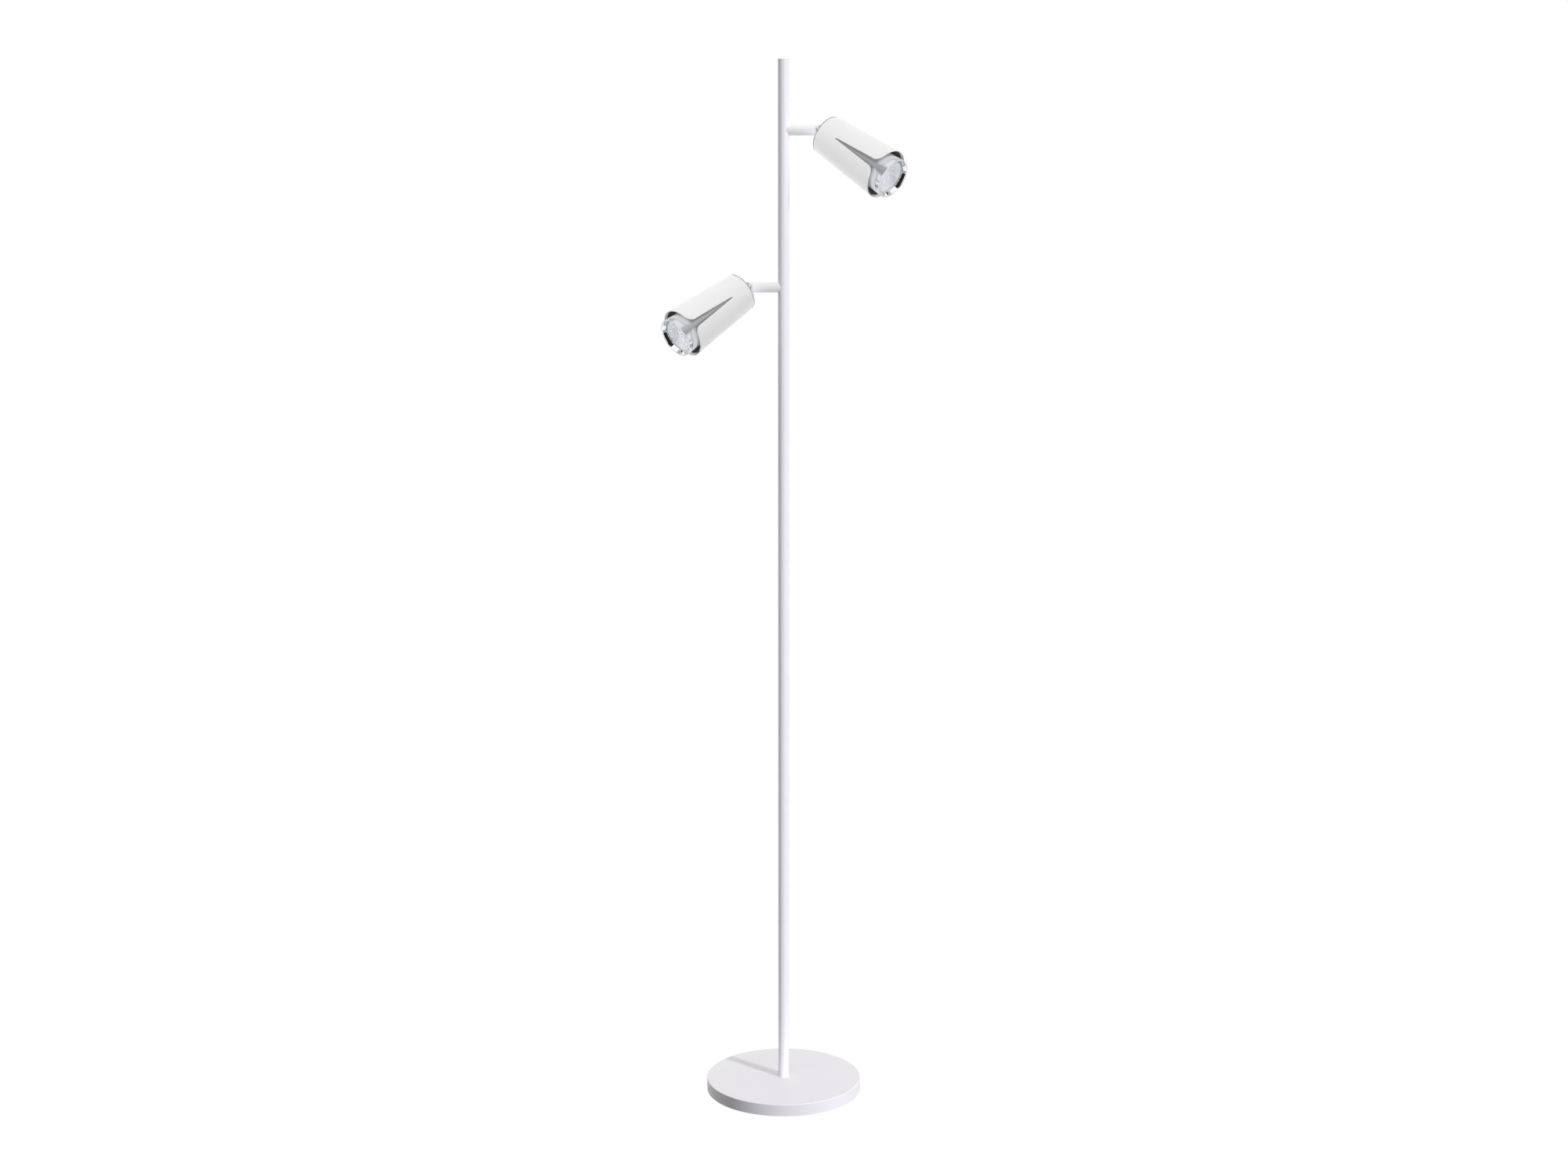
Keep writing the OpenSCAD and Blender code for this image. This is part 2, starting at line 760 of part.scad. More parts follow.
// reflector lamp: a rim, a tapering cup and a round cap, with a bowl that the lens sits in
module lamp_body()
    color(ceramic)
    difference() {
        rotate_extrude()
            polygon([
                [0, lamp_back],
                [lamp_cap_d / 2 - 1, lamp_back],
                [lamp_cap_d / 2, lamp_back + 1],
                [lamp_cap_d / 2, lamp_back + lamp_neck_l],
                for (t = [0.25 : 0.25 : 1])
                    [
                        lamp_cap_d / 2 + (lamp_r - lamp_cap_d / 2) * sin(90 * t),
                        lamp_back + lamp_neck_l + (lamp_l - lamp_neck_l - lamp_rim_l) * t
                    ],
                [lamp_r, lamp_front],
                [0, lamp_front]
            ]);
        rotate_extrude()
            polygon([
                [0, chip_seat],
                [lens_foot_r + lens_room, chip_seat],
                for (t = [0 : 0.125 : 1]) lens_back(t, lens_room) - [0, fit],
                [lens_d / 2 + fit, lens_under - fit],
                [lens_d / 2 + fit, lamp_front + cut],
                [0, lamp_front + cut]
            ]);
    }

// light source: a round board with a raised emitter, on the floor of the lamp's bowl
module lamp_chip()
    color(ceramic) {
        translate([0, 0, chip_seat + fit]) cylinder(r = lens_foot_r + lens_room - fit, h = chip_t);
        translate([0, 0, chip_top]) cylinder(r = emitter_r, h = emitter_t);
    }

module lamp_pins()
    color(zinc)
    for (y = [-pin_pitch / 2, pin_pitch / 2])
        translate([0, y, lamp_back]) {
            translate([0, 0, -pin_l]) cylinder(r = pin_foot_r, h = pin_foot_l);
            translate([0, 0, -pin_l + pin_foot_l]) cylinder(r = pin_r, h = pin_l - pin_foot_l - fit);
        }

// pressed lens: rings of shallow steps round a pit in front, and a solid bowl behind
// with a hollow foot that stands over the emitter
module lamp_lens()
    color(clear_lens)
    rotate_extrude()
        polygon([
            [0, lens_foot + lens_cavity_l],
            [lens_cavity_r, lens_foot + lens_cavity_l],
            [lens_cavity_r, lens_foot],
            for (t = [0 : 0.125 : 1]) lens_back(t, 0),
            [lens_d / 2, lens_under],
            [lens_d / 2, lamp_front - lens_step],
            for (i = [lens_rings : -1 : 1])
                each let (
                    outer = lens_pit_r + (lens_d / 2 - 1 - lens_pit_r) * i / lens_rings,
                    inner = lens_pit_r + (lens_d / 2 - 1 - lens_pit_r) * (i - 1) / lens_rings
                ) [[outer, lamp_front - lens_step], [inner + 0.4, lamp_front]],
            [lens_pit_r, lamp_front - lens_pit],
            [0, lamp_front - lens_pit]
        ]);

module lampholder()
    color(ceramic)
    difference() {
        translate([0, 0, holder_back]) cylinder(d = holder_d, h = holder_h);
        for (y = [-pin_pitch / 2, pin_pitch / 2])
            translate([0, y, holder_front - pin_l - 2 * swing])
                cylinder(r = pin_foot_r + swing, h = pin_l + 2 * swing + cut);
        for (y = [-bracket_screw_y, bracket_screw_y])
            translate([0, y, holder_back - cut]) cylinder(r = m3_r + fit, h = holder_screw_l + cut);
        // flats at both sides, for the leads
        for (x = [-1, 1])
            translate([x * holder_d / 2 - 1.5, -holder_d / 4, holder_back - cut])
                cube([3, holder_d / 2, holder_h / 2]);
    }

// U-shaped strip that carries the lampholder on the back cap
module holder_bracket()
    color(zinc)
    difference() {
        rotate([90, 0, 90])
            translate([0, 0, -bracket_w / 2])
                linear_extrude(height = bracket_w) {
                    translate([-bracket_leg_y, bracket_top - bracket_t])
                        square([2 * bracket_leg_y, bracket_t]);
                    for (s = [-1, 1])
                        scale([s, 1]) {
                            translate([bracket_leg_y - bracket_t, cap_floor + fit])
                                square([bracket_t, bracket_top - cap_floor - fit]);
                            translate([bracket_leg_y - bracket_foot_l, cap_floor + fit])
                                square([bracket_foot_l, bracket_t]);
                        }
                }
        for (y = [-bracket_screw_y, bracket_screw_y])
            translate([0, y, cap_floor - cut]) cylinder(r = m3_r + fit, h = bracket_top);
    }

module bracket_screws()
    color(zinc)
    for (y = [-bracket_screw_y, bracket_screw_y]) {
        foot_top = cap_floor + fit + bracket_t + fit;
        translate([0, y, cap_floor - cap_screw_l]) cylinder(r = m3_r, h = foot_top - cap_floor + cap_screw_l);
        translate([0, y, foot_top]) cylinder(r = m3_head_r, h = m3_head_h);
        plate_under = bracket_top - bracket_t - fit;
        translate([0, y, plate_under]) cylinder(r = m3_r, h = holder_screw_l);
        translate([0, y, plate_under - m3_head_h]) cylinder(r = m3_head_r, h = m3_head_h);
    }

// sheathed lead from the lampholder to its hole in the back cap
module head_lead()
    color(nylon)
    translate([head_lead_x, 0, cap_setback + 0.4])
        cylinder(r = lead_r, h = holder_back - fit - cap_setback - 0.4);

// ---------------------------------------------------------------- the lamp

base_cover();
base_weight();
bottom_plate();
foot_ring();
plate_screws();
cable_gland();
terminal_block();
pole_stud();
foot_nut();
foot_washer();
pole_plug();
pole_tube();
pole_cap();
lead(UPPER);  // upper_lead
at_arm(UPPER) arm();  // upper_arm
at_arm(UPPER) cable_bush();  // upper_cable_bush
at_arm(UPPER) swivel_bush();  // upper_swivel_bush
lead(LOWER);  // lower_lead
at_arm(LOWER) arm();  // lower_arm
at_arm(LOWER) cable_bush();  // lower_cable_bush
at_arm(LOWER) swivel_bush();  // lower_swivel_bush
at_knuckle(UPPER) swivel_stem();  // upper_swivel_stem
at_knuckle(UPPER) swivel_nut();  // upper_swivel_nut
at_knuckle(UPPER) swivel_washer();  // upper_swivel_washer
at_knuckle(LOWER) swivel_stem();  // lower_swivel_stem
at_knuckle(LOWER) swivel_nut();  // lower_swivel_nut
at_knuckle(LOWER) swivel_washer();  // lower_swivel_washer
at_head(UPPER) back_cap();  // upper_back_cap
at_head(UPPER) hinge_screw();  // upper_hinge_screw
at_head(UPPER) hinge_nut();  // upper_hinge_nut
at_head(UPPER) friction_washers();  // upper_friction_washers
at_head(UPPER) shade(UPPER);  // upper_shade
at_head(UPPER) back_ring();  // upper_back_ring
at_head(UPPER) barrel();  // upper_barrel
at_head(UPPER) mouth_ring();  // upper_mouth_ring
at_head(UPPER) holder_bracket();  // upper_holder_bracket
at_head(UPPER) bracket_screws();  // upper_bracket_screws
at_head(UPPER) lampholder();  // upper_lampholder
at_head(UPPER) lamp_body();  // upper_lamp_body
at_head(UPPER) lamp_chip();  // upper_lamp_chip
at_head(UPPER) lamp_pins();  // upper_lamp_pins
at_head(UPPER) lamp_lens();  // upper_lamp_lens
at_head(UPPER) head_lead();  // upper_head_lead
at_head(LOWER) back_cap();  // lower_back_cap
at_head(LOWER) hinge_screw();  // lower_hinge_screw
at_head(LOWER) hinge_nut();  // lower_hinge_nut
at_head(LOWER) friction_washers();  // lower_friction_washers
at_head(LOWER) shade(LOWER);  // lower_shade
at_head(LOWER) back_ring();  // lower_back_ring
at_head(LOWER) barrel();  // lower_barrel
at_head(LOWER) mouth_ring();  // lower_mouth_ring
at_head(LOWER) holder_bracket();  // lower_holder_bracket
at_head(LOWER) bracket_screws();  // lower_bracket_screws
at_head(LOWER) lampholder();  // lower_lampholder
at_head(LOWER) lamp_body();  // lower_lamp_body
at_head(LOWER) lamp_chip();  // lower_lamp_chip
at_head(LOWER) lamp_pins();  // lower_lamp_pins
at_head(LOWER) lamp_lens();  // lower_lamp_lens
at_head(LOWER) head_lead();  // lower_head_lead
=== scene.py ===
# %% [markdown]
# # A floor lamp with two turning spot heads
# The lamp is almost white on white, so its shape is told by a few soft greys: a pole that darkens
# towards one side, two flared shades that catch light from above, and the silver barrels inside them.
# The construction comes packed as a fixed frame, in metres, and this lesson dresses it.

# %% Load the frame
import json
import math

import bmesh
import bpy
import numpy as np
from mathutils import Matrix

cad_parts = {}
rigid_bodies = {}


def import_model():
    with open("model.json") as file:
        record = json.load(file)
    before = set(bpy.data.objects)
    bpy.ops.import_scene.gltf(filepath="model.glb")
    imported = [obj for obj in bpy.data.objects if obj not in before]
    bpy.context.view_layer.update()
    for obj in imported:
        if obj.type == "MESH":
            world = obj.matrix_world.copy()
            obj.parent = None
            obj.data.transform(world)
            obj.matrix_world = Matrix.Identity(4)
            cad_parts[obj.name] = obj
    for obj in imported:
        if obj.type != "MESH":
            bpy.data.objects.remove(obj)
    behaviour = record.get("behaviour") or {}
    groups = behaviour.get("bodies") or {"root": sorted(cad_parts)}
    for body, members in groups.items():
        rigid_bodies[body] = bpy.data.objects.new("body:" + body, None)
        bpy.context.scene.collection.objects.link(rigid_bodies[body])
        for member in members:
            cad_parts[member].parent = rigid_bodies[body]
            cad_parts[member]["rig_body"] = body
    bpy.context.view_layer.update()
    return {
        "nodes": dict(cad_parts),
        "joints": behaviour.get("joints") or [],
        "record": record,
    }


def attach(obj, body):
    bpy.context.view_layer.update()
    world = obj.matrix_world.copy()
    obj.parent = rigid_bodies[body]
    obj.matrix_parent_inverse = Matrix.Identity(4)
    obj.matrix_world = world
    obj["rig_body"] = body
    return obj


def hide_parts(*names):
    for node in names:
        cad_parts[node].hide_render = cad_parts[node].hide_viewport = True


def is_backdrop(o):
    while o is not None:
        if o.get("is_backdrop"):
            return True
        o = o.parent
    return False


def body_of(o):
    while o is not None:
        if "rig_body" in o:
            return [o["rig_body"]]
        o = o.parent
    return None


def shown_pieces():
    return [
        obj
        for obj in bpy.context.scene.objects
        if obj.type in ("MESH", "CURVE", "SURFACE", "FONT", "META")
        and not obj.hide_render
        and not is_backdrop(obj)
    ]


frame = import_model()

MM = 0.001
nodes = frame["nodes"]
joints = {joint["name"]: joint for joint in frame["joints"]}
scene = bpy.context.scene
scene.view_settings.view_transform = "Standard"

# %% [markdown]
# ## The camera
# The photograph looks slightly down at the lamp from the height of the pole's top. A long lens from
# nearly four metres keeps the pole's two edges parallel. The lens was found by measuring in the
# picture, so its focal length is written in pixels, and the width of the sensor turns it into mm.

# %% Place the camera
camera_distance = 3.9227
camera_height = 1.555
camera_side = 0.0006
camera_pitch = math.radians(11.119)
picture_width_px = 2000
focal_length_px = 3435.6
sensor_width_mm = 36

camera_data = bpy.data.cameras.new("photo_camera")
camera_data.sensor_width = sensor_width_mm
camera_data.lens = sensor_width_mm * focal_length_px / picture_width_px
camera_data.clip_end = 60
camera = bpy.data.objects.new("photo_camera", camera_data)
camera.location = (camera_side, -camera_distance, camera_height)
camera.rotation_euler = (math.pi / 2 - camera_pitch, 0, 0)
scene.collection.objects.link(camera)
scene.camera = camera
print("lens in mm:", round(camera_data.lens, 2))

# %% [markdown]
# ## Where a head is
# Each head hangs on its own tilt pin and points its own way. Its frame is worked out from the packed
# joints: the pin gives the origin and Y, and the head's axis Z is the arm's direction tipped about
# the pin by the tilt at rest. In that frame a head is a body of revolution about Z, so every shell
# can be written as a radius along Z. A 4 x 4 matrix then carries it to its place.

# %% Frames of the two heads
SIDES = ("upper", "lower")


def turned(vector, axis, angle):
    """Rodrigues' formula: the vector turned about a unit axis by an angle in radians."""
    along = axis * np.dot(axis, vector)
    return along + math.cos(angle) * (vector - along) + math.sin(angle) * np.cross(axis, vector)


def head_frame(side):
    """Matrix from the head's own frame (Z forward, Y along the tilt pin) to the lamp's frame."""
    tilt = joints[side + "_tilt"]
    pin = np.array(tilt["axis"], float)
    pin /= np.linalg.norm(pin)
    arm = np.array(joints[side + "_swivel"]["axis"], float)
    forward = turned(arm, pin, math.radians(-tilt["range_deg"][0]))
    place = np.eye(4)
    place[:3, 0], place[:3, 1], place[:3, 2] = np.cross(pin, forward), pin, forward
    place[:3, 3] = tilt["pos_m"]
    return place


HEAD = {side: head_frame(side) for side in SIDES}
for side in SIDES:
    print(side, "head points along", HEAD[side][:3, 2].round(3).tolist())

# %% [markdown]
# ## Reading sizes off the frame
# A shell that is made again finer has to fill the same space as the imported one. So the radii and
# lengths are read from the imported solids: their corners, seen in the head's frame, as distance from
# the axis and place along it.

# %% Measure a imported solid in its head's frame
end_zone = 0.1 * MM
same_place = 0.05 * MM


def corners_in_head(side, node):
    """Distance from the head's axis, and place along it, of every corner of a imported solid."""
    mesh = nodes[node].data
    points = np.empty(len(mesh.vertices) * 3, np.float32)
    mesh.vertices.foreach_get("co", points)
    points = points.reshape(-1, 3).astype(float)
    local = (points - HEAD[side][:3, 3]) @ HEAD[side][:3, :3]
    return np.hypot(local[:, 0], local[:, 1]), local[:, 2]


def cone_of(side, node):
    """A tube's back and front along the axis, its outer radius at both ends, and its wall."""
    radius, along = corners_in_head(side, node)
    back, front = along.min(), along.max()
    near_back, near_front = along < back + end_zone, along > front - end_zone
    wall = radius[near_back].max() - radius[near_back].min()
    return back, front, radius[near_back].max(), radius[near_front].max(), wall


print("upper shade, in mm:", [round(value / MM, 2) for value in cone_of("upper", "upper_shade")])

# %% [markdown]
# ## From numbers to a surface
# Every new shell is a grid of points worked out by numpy in one go. The grid needs quads between
# neighbouring points, closed round where it runs round an axis, and a UV map that counts metres along
# the profile and turns round the axis, so that a brushed finish can follow the surface. Where a
# profile starts on the axis, the first ring falls into one point, and merging closes the pole.

# %% Quads between the points of a grid


def grid_quads(rows, columns, closed_rows=False, closed_columns=False):
    """Corner numbers (row, column) of each quad, with the columns left to run past the seam."""
    row = np.arange(rows if closed_rows else rows - 1)
    column = np.arange(columns if closed_columns else columns - 1)
    row, column = (part.ravel() for part in np.meshgrid(row, column, indexing="ij"))
    corner_rows = np.stack([row, row, row + 1, row + 1], 1)
    corner_columns = np.stack([column, column + 1, column + 1, column], 1)
    return corner_rows, corner_columns


# %% A mesh through a grid of points
weld_distance = 0.002 * MM


def surface(name, points, closed_rows=False, closed_columns=False, place=np.eye(4)):
    """Mesh object through a grid of points (rows, columns, 3), carried to its place by a matrix."""
    rows, columns = points.shape[:2]
    steps = np.linalg.norm(np.roll(points[:, 0], -1, axis=0) - points[:, 0], axis=1)
    run = np.concatenate([[0], np.cumsum(steps)])
    corner_rows, corner_columns = grid_quads(rows, columns, closed_rows, closed_columns)
    flat = points.reshape(-1, 3) @ place[:3, :3].T + place[:3, 3]
    quads = (corner_rows % rows) * columns + corner_columns % columns
    mesh = bpy.data.meshes.new(name)
    mesh.from_pydata(flat, [], quads)
    layer = mesh.uv_layers.new(name="finish")
    uv = np.stack([corner_columns / columns, run[corner_rows]], -1)
    layer.data.foreach_set("uv", uv.reshape(-1).astype(np.float32))
    welded = bmesh.new()
    welded.from_mesh(mesh)
    bmesh.ops.remove_doubles(welded, verts=welded.verts, dist=weld_distance)
    bmesh.ops.recalc_face_normals(welded, faces=welded.faces)
    welded.to_mesh(mesh)
    welded.free()
    mesh.shade_smooth()
    obj = bpy.data.objects.new(name, mesh)
    scene.collection.objects.link(obj)
    return obj


# %% Surfaces of revolution, and pieces of a profile


def revolved(name, profile, side, turns=192, closed=True):
    """Surface of revolution about the head's axis: point = (r cos a, r sin a, z) for each (r, z)."""
    profile = np.array(profile, float)
    angle = np.arange(turns) * 2 * math.pi / turns
    radius, along = profile[:, 0, None], profile[:, 1, None]
    points = np.stack([radius * np.cos(angle), radius * np.sin(angle), along + 0 * angle], -1)
    return surface(name, points, closed_rows=closed, closed_columns=True, place=HEAD[side])


def arc(centre, radius, start, end, steps=6):
    """Points (r, z) on a circle about a centre, from one angle to another, in degrees."""
    angle = np.radians(np.linspace(start, end, steps + 1))
    return np.stack([centre[0] + radius * np.cos(angle), centre[1] + radius * np.sin(angle)], 1)


def straight(start, end, steps):
    """Evenly spaced points from start up to, but not including, end."""
    share = np.arange(steps)[:, None] / steps
    return np.array(start) + share * (np.array(end) - np.array(start))


# %% [markdown]
# ## The flared shades
# A shade is one sheet of metal rolled into a cone, and the slit is where its two edges don't meet. So
# it isn't cut by a boolean: the sheet is laid from one edge of the slit round to the other. For each
# place along the axis the slit's half width gives the angle at which the sheet starts and ends:
# nothing behind the tip, then a straight V, then a quarter circle that runs out into the front edge.
# The wall comes from Solidify, and a small Bevel breaks the sheet's edges so that they catch light.
# Both leave material slots free for the inner side and for the cut edges, which wear painted shade.

# %% The slit's half width, and where the sheet needs rows
slit_length = 83.5 * MM
slit_tip_r = 0.7 * MM
slit_neck_half = 5.3 * MM
slit_flare_r = 13 * MM
rows_behind_tip = 14
rows_along_v = 40


def slit_half_width(along, front):
    """Half the slit's width: a round tip, a straight V to the neck, and a quarter circle."""
    tip = front - slit_length + slit_tip_r
    neck = front - slit_flare_r
    round_tip = np.sqrt(np.clip(slit_tip_r**2 - (along - tip) ** 2, 0, None))
    v_side = slit_tip_r + (slit_neck_half - slit_tip_r) * (along - tip) / (neck - tip)
    rise = np.clip(along - neck, 0, slit_flare_r)
    flare = slit_neck_half + slit_flare_r - np.sqrt(slit_flare_r**2 - rise**2)
    width = np.where(along < tip, round_tip, np.where(along < neck, v_side, flare))
    return np.where(along <= tip - slit_tip_r, 0, width)


def shade_rows(back, front):
    """Places along the axis: even behind the tip and along the V, by 15 and 3 degrees on the curves."""
    tip = front - slit_length + slit_tip_r
    neck = front - slit_flare_r
    round_tip = tip - slit_tip_r * np.cos(np.radians(np.arange(15, 91, 15)))
    flare = neck + slit_flare_r * np.sin(np.radians(np.arange(0, 79, 3)))
    return np.concatenate([
        np.linspace(back, tip - slit_tip_r, rows_behind_tip),
        round_tip,
        np.linspace(tip, neck, rows_along_v)[1:-1],
        flare,
        [front],
    ])


# %% Roll the shades
slit_turn = math.radians(54.5)
sheet_columns = 181
edge_break = 0.4 * MM
sharp_angle = math.radians(50)
# Material slots of the inner side and of the cut edges, which both wear painted shade.
INNER_SIDE, PAINTED_SHADE_EDGE = 1, 2


def roll_shade(side):
    """The shade as a sheet: angle = slit edge + share of the way round to the other edge."""
    back, front, back_r, front_r, wall = cone_of(side, side + "_shade")
    along = shade_rows(back, front)[:, None]
    radius = back_r + (front_r - back_r) * (along - back) / (front - back)
    half_angle = np.arcsin(slit_half_width(along, front) / radius)
    middle = -slit_turn if side == "upper" else slit_turn
    share = np.linspace(0, 1, sheet_columns)[None, :]
    angle = middle + half_angle + share * (2 * math.pi - 2 * half_angle)
    points = np.stack([radius * np.cos(angle), radius * np.sin(angle), along + 0 * angle], -1)
    shade = surface(side + "_shade_sheet", points, place=HEAD[side])
    solid = shade.modifiers.new("wall", "SOLIDIFY")
    solid.thickness = wall
    solid.offset = -1
    solid.material_offset = INNER_SIDE
    solid.material_offset_rim = PAINTED_SHADE_EDGE
    broken = shade.modifiers.new("broken_edges", "BEVEL")
    broken.width = edge_break
    broken.segments = 3
    broken.material = PAINTED_SHADE_EDGE
    broken.limit_method = "ANGLE"
    broken.angle_limit = sharp_angle
    return shade


shades = {side: roll_shade(side) for side in SIDES}
print("points in one shade's sheet:", len(shades["upper"].data.vertices))

# %% [markdown]
# ## The silver barrels
# The barrel is a spun tube that widens a little to the front. Its only detail is its front edge,
# which is rolled round, and which draws the thin bright line round the mouth. The profile is a closed
# loop of (radius, place) points: out along the outer wall, round the lip and back along the inner.
# Smooth shading bends the light over a whole row, so a near row on each side of the lip holds it.

# %% Spin the barrels
lip_hold = 0.1 * MM


def tube_profile(back, front, back_r, front_r, wall, rows=24):
    """Closed profile: outer wall, half circle of the front edge, inner wall, and the flat back edge."""
    slope = (front_r - back_r) / (front - back)
    lip = wall / 2
    lip_z = front - lip
    lip_r = back_r + slope * (lip_z - back)
    held = np.array([slope, 1]) * lip_hold
    outer, inner = np.array([lip_r, lip_z]), np.array([lip_r - wall, lip_z])
    return np.concatenate([
        straight((back_r, back), outer - held, rows),
        [outer - held],
        arc((lip_r - lip, lip_z), lip, 0, 180, 8),
        straight(inner - held, (back_r - wall, back), rows),
        [(back_r - wall, back)],
    ])


barrels = {
    side: revolved(side + "_barrel_tube", tube_profile(*cone_of(side, side + "_barrel")), side)
    for side in SIDES
}
print("points in one barrel:", len(barrels["upper"].data.vertices))

# %% [markdown]
# ## The polished mouth
# In front of the lamp the barrel is lined with a polished funnel. It is what shows black and white
# in the photograph, because it mirrors the studio in narrow strips: its lower outer side looks into
# the dark side where the camera stands, and the rest looks at white. Its edges are broken finely.

# %% Turn the mouth rings
ring_edge = 0.12 * MM
ring_clearance = 0.01 * MM


def mouth_profile(side):
    """Closed profile: outer wall, broken front edge, polished cone, and the bore of the lamp's rim."""
    radius, along = corners_in_head(side, side + "_mouth_ring")
    back, front = along.min(), along.max()
    outer_back, outer_front = radius[along < back + end_zone].max(), radius.max()
    inner_front = radius[along > front - end_zone].min()
    bore = radius.min()
    land = along[radius < bore + same_place].max()
    cone_length = math.hypot(inner_front - bore, front - land)
    cone_r, cone_z = (inner_front - bore) / cone_length, (front - land) / cone_length
    start = (inner_front - ring_edge * cone_r, front - ring_edge * cone_z)
    end = (bore + ring_edge * cone_r, land + ring_edge * cone_z)
    return np.concatenate([
        [(outer_back, back), (outer_front - ring_clearance, front - ring_edge)],
        [(outer_front - ring_edge, front), (inner_front + ring_edge, front)],
        straight(start, end, 8),
        [end, (bore, land - ring_edge), (bore, back)],
    ])


mouths = {side: revolved(side + "_mouth_lining", mouth_profile(side), side) for side in SIDES}
print("points in one mouth ring:", len(mouths["upper"].data.vertices))

# %% [markdown]
# ## The lens
# The lens is pressed in clear material. From the front it shows rings: each ring is a shallow step,
# and a small pit in the middle sits over the light source. Behind, it is a solid bowl, and the bowl
# is a parabola: r squared grows evenly along the axis. The foot is hollow, over the emitter. The
# profile starts and ends on the axis, so merging closes both poles.

# %% Back of the lens: hollow foot and bowl
dome_height = 0.6
rim_width = 1.0 * MM


def lens_back(radius, along):
    """Dome = flattened quarter circle. Bowl = parabola whose r squared grows evenly with z."""
    foot, outer = along.min(), radius.max()
    at_foot = radius[along < foot + same_place]
    cavity_r, foot_r = at_foot.min(), at_foot.max()
    cavity_top = along[np.abs(radius - cavity_r) < same_place].max()
    under = along[radius > outer - same_place].min()
    bowl_r = radius[(np.abs(along - under) < same_place) & (radius < outer - rim_width)].max()
    dome = arc((0, cavity_top - dome_height * cavity_r), cavity_r, 90, 0, 8)
    dome[:, 1] = cavity_top + (dome[:, 1] - dome[0, 1]) * dome_height
    share = np.linspace(0, 1, 25)
    bowl_radius = np.sqrt(foot_r**2 + (bowl_r**2 - foot_r**2) * share)
    bowl = np.stack([bowl_radius, foot + (under - foot) * share], 1)
    return np.concatenate([dome, [(cavity_r, foot)], bowl]), under


# %% Front of the lens: rim, stepped rings and pit
lens_rings = 4
ring_step = 0.5 * MM
ring_filled = 0.94
pit_r = 4 * MM
pit_depth = 1.2 * MM
back_edge = 0.2 * MM
front_edge = 0.3 * MM


def lens_front(outer, under, front):
    """From the rim inwards: each ring rises by a quarter sine wave, and the pit is a quarter ellipse."""
    face = front - ring_step
    parts = [[
        (outer - back_edge, under), (outer, under + back_edge),
        (outer, face - front_edge), (outer - front_edge, face),
    ]]
    pitch = (outer - rim_width - pit_r) / lens_rings
    share = np.linspace(0, 1, 9)[:-1]
    crown = ring_step * np.sin(share * math.pi / 2)
    for ring in range(lens_rings, 0, -1):
        ring_outer = pit_r + pitch * ring
        parts.append(np.stack([ring_outer - share * pitch * ring_filled, face + crown], 1))
    pit = np.radians(np.linspace(0, 90, 9))
    parts.append(np.stack([pit_r * np.cos(pit), front - pit_depth * np.sin(pit)], 1))
    return np.concatenate(parts)


# %% Press the lenses


def lens_profile(side):
    """From the hollow foot out over the bowl to the rim, then in over the stepped rings to the pit."""
    radius, along = corners_in_head(side, side + "_lamp_lens")
    back, under = lens_back(radius, along)
    return np.concatenate([back, lens_front(radius.max(), under, along.max())])


lenses = {side: revolved(side + "_lens_glass", lens_profile(side), side, closed=False) for side in SIDES}
print("points in one lens:", len(lenses["upper"].data.vertices))

# %% [markdown]
# ## Fine relief, shared by several finishes
# Powder coat, lacquer, cast iron and ceramic all have a fine relief that is too small to see from far
# away, but that breaks up a highlight when one comes close. One node group makes it at any grain
# size. It puts out a height for a Bump node, a tone that varies slowly, and a finer roughness mask.
# First come a few helpers that save a line each time two nodes are joined.

# %% Helpers for shader nodes


def node_group(name, inputs, outputs):
    """Shader node group with float inputs (name, default) and typed outputs (name, type)."""
    group = bpy.data.node_groups.new(name, "ShaderNodeTree")
    for label, default in inputs:
        socket = group.interface.new_socket(label, in_out="INPUT", socket_type="NodeSocketFloat")
        socket.default_value = default
    for label, kind in outputs:
        group.interface.new_socket(label, in_out="OUTPUT", socket_type=kind)
    return group, group.nodes.new("NodeGroupInput"), group.nodes.new("NodeGroupOutput")


def wire(tree, source, target):
    """Joins an output socket to an input socket."""
    tree.links.new(source, target)


def maths(tree, operation, first, second=0.0):
    """Math node whose one or two inputs are sockets or plain numbers."""
    node = tree.nodes.new("ShaderNodeMath")
    node.operation = operation
    for socket, value in zip(node.inputs, (first, second)):
        if isinstance(value, bpy.types.NodeSocket):
            wire(tree, value, socket)
        else:
            socket.default_value = value
    return node.outputs[0]


def noise(tree, vector, scale, detail=2.0):
    """Noise texture's value, from 0 to 1, at so many grains a metre."""
    node = tree.nodes.new("ShaderNodeTexNoise")
    node.inputs["Detail"].default_value = detail
    wire(tree, vector, node.inputs["Vector"])
    if isinstance(scale, bpy.types.NodeSocket):
        wire(tree, scale, node.inputs["Scale"])
    else:
        node.inputs["Scale"].default_value = scale
    return node.outputs["Fac"]


# %% Node group: fine relief
coarser = 0.22
tone_patches_a_metre = 9.0


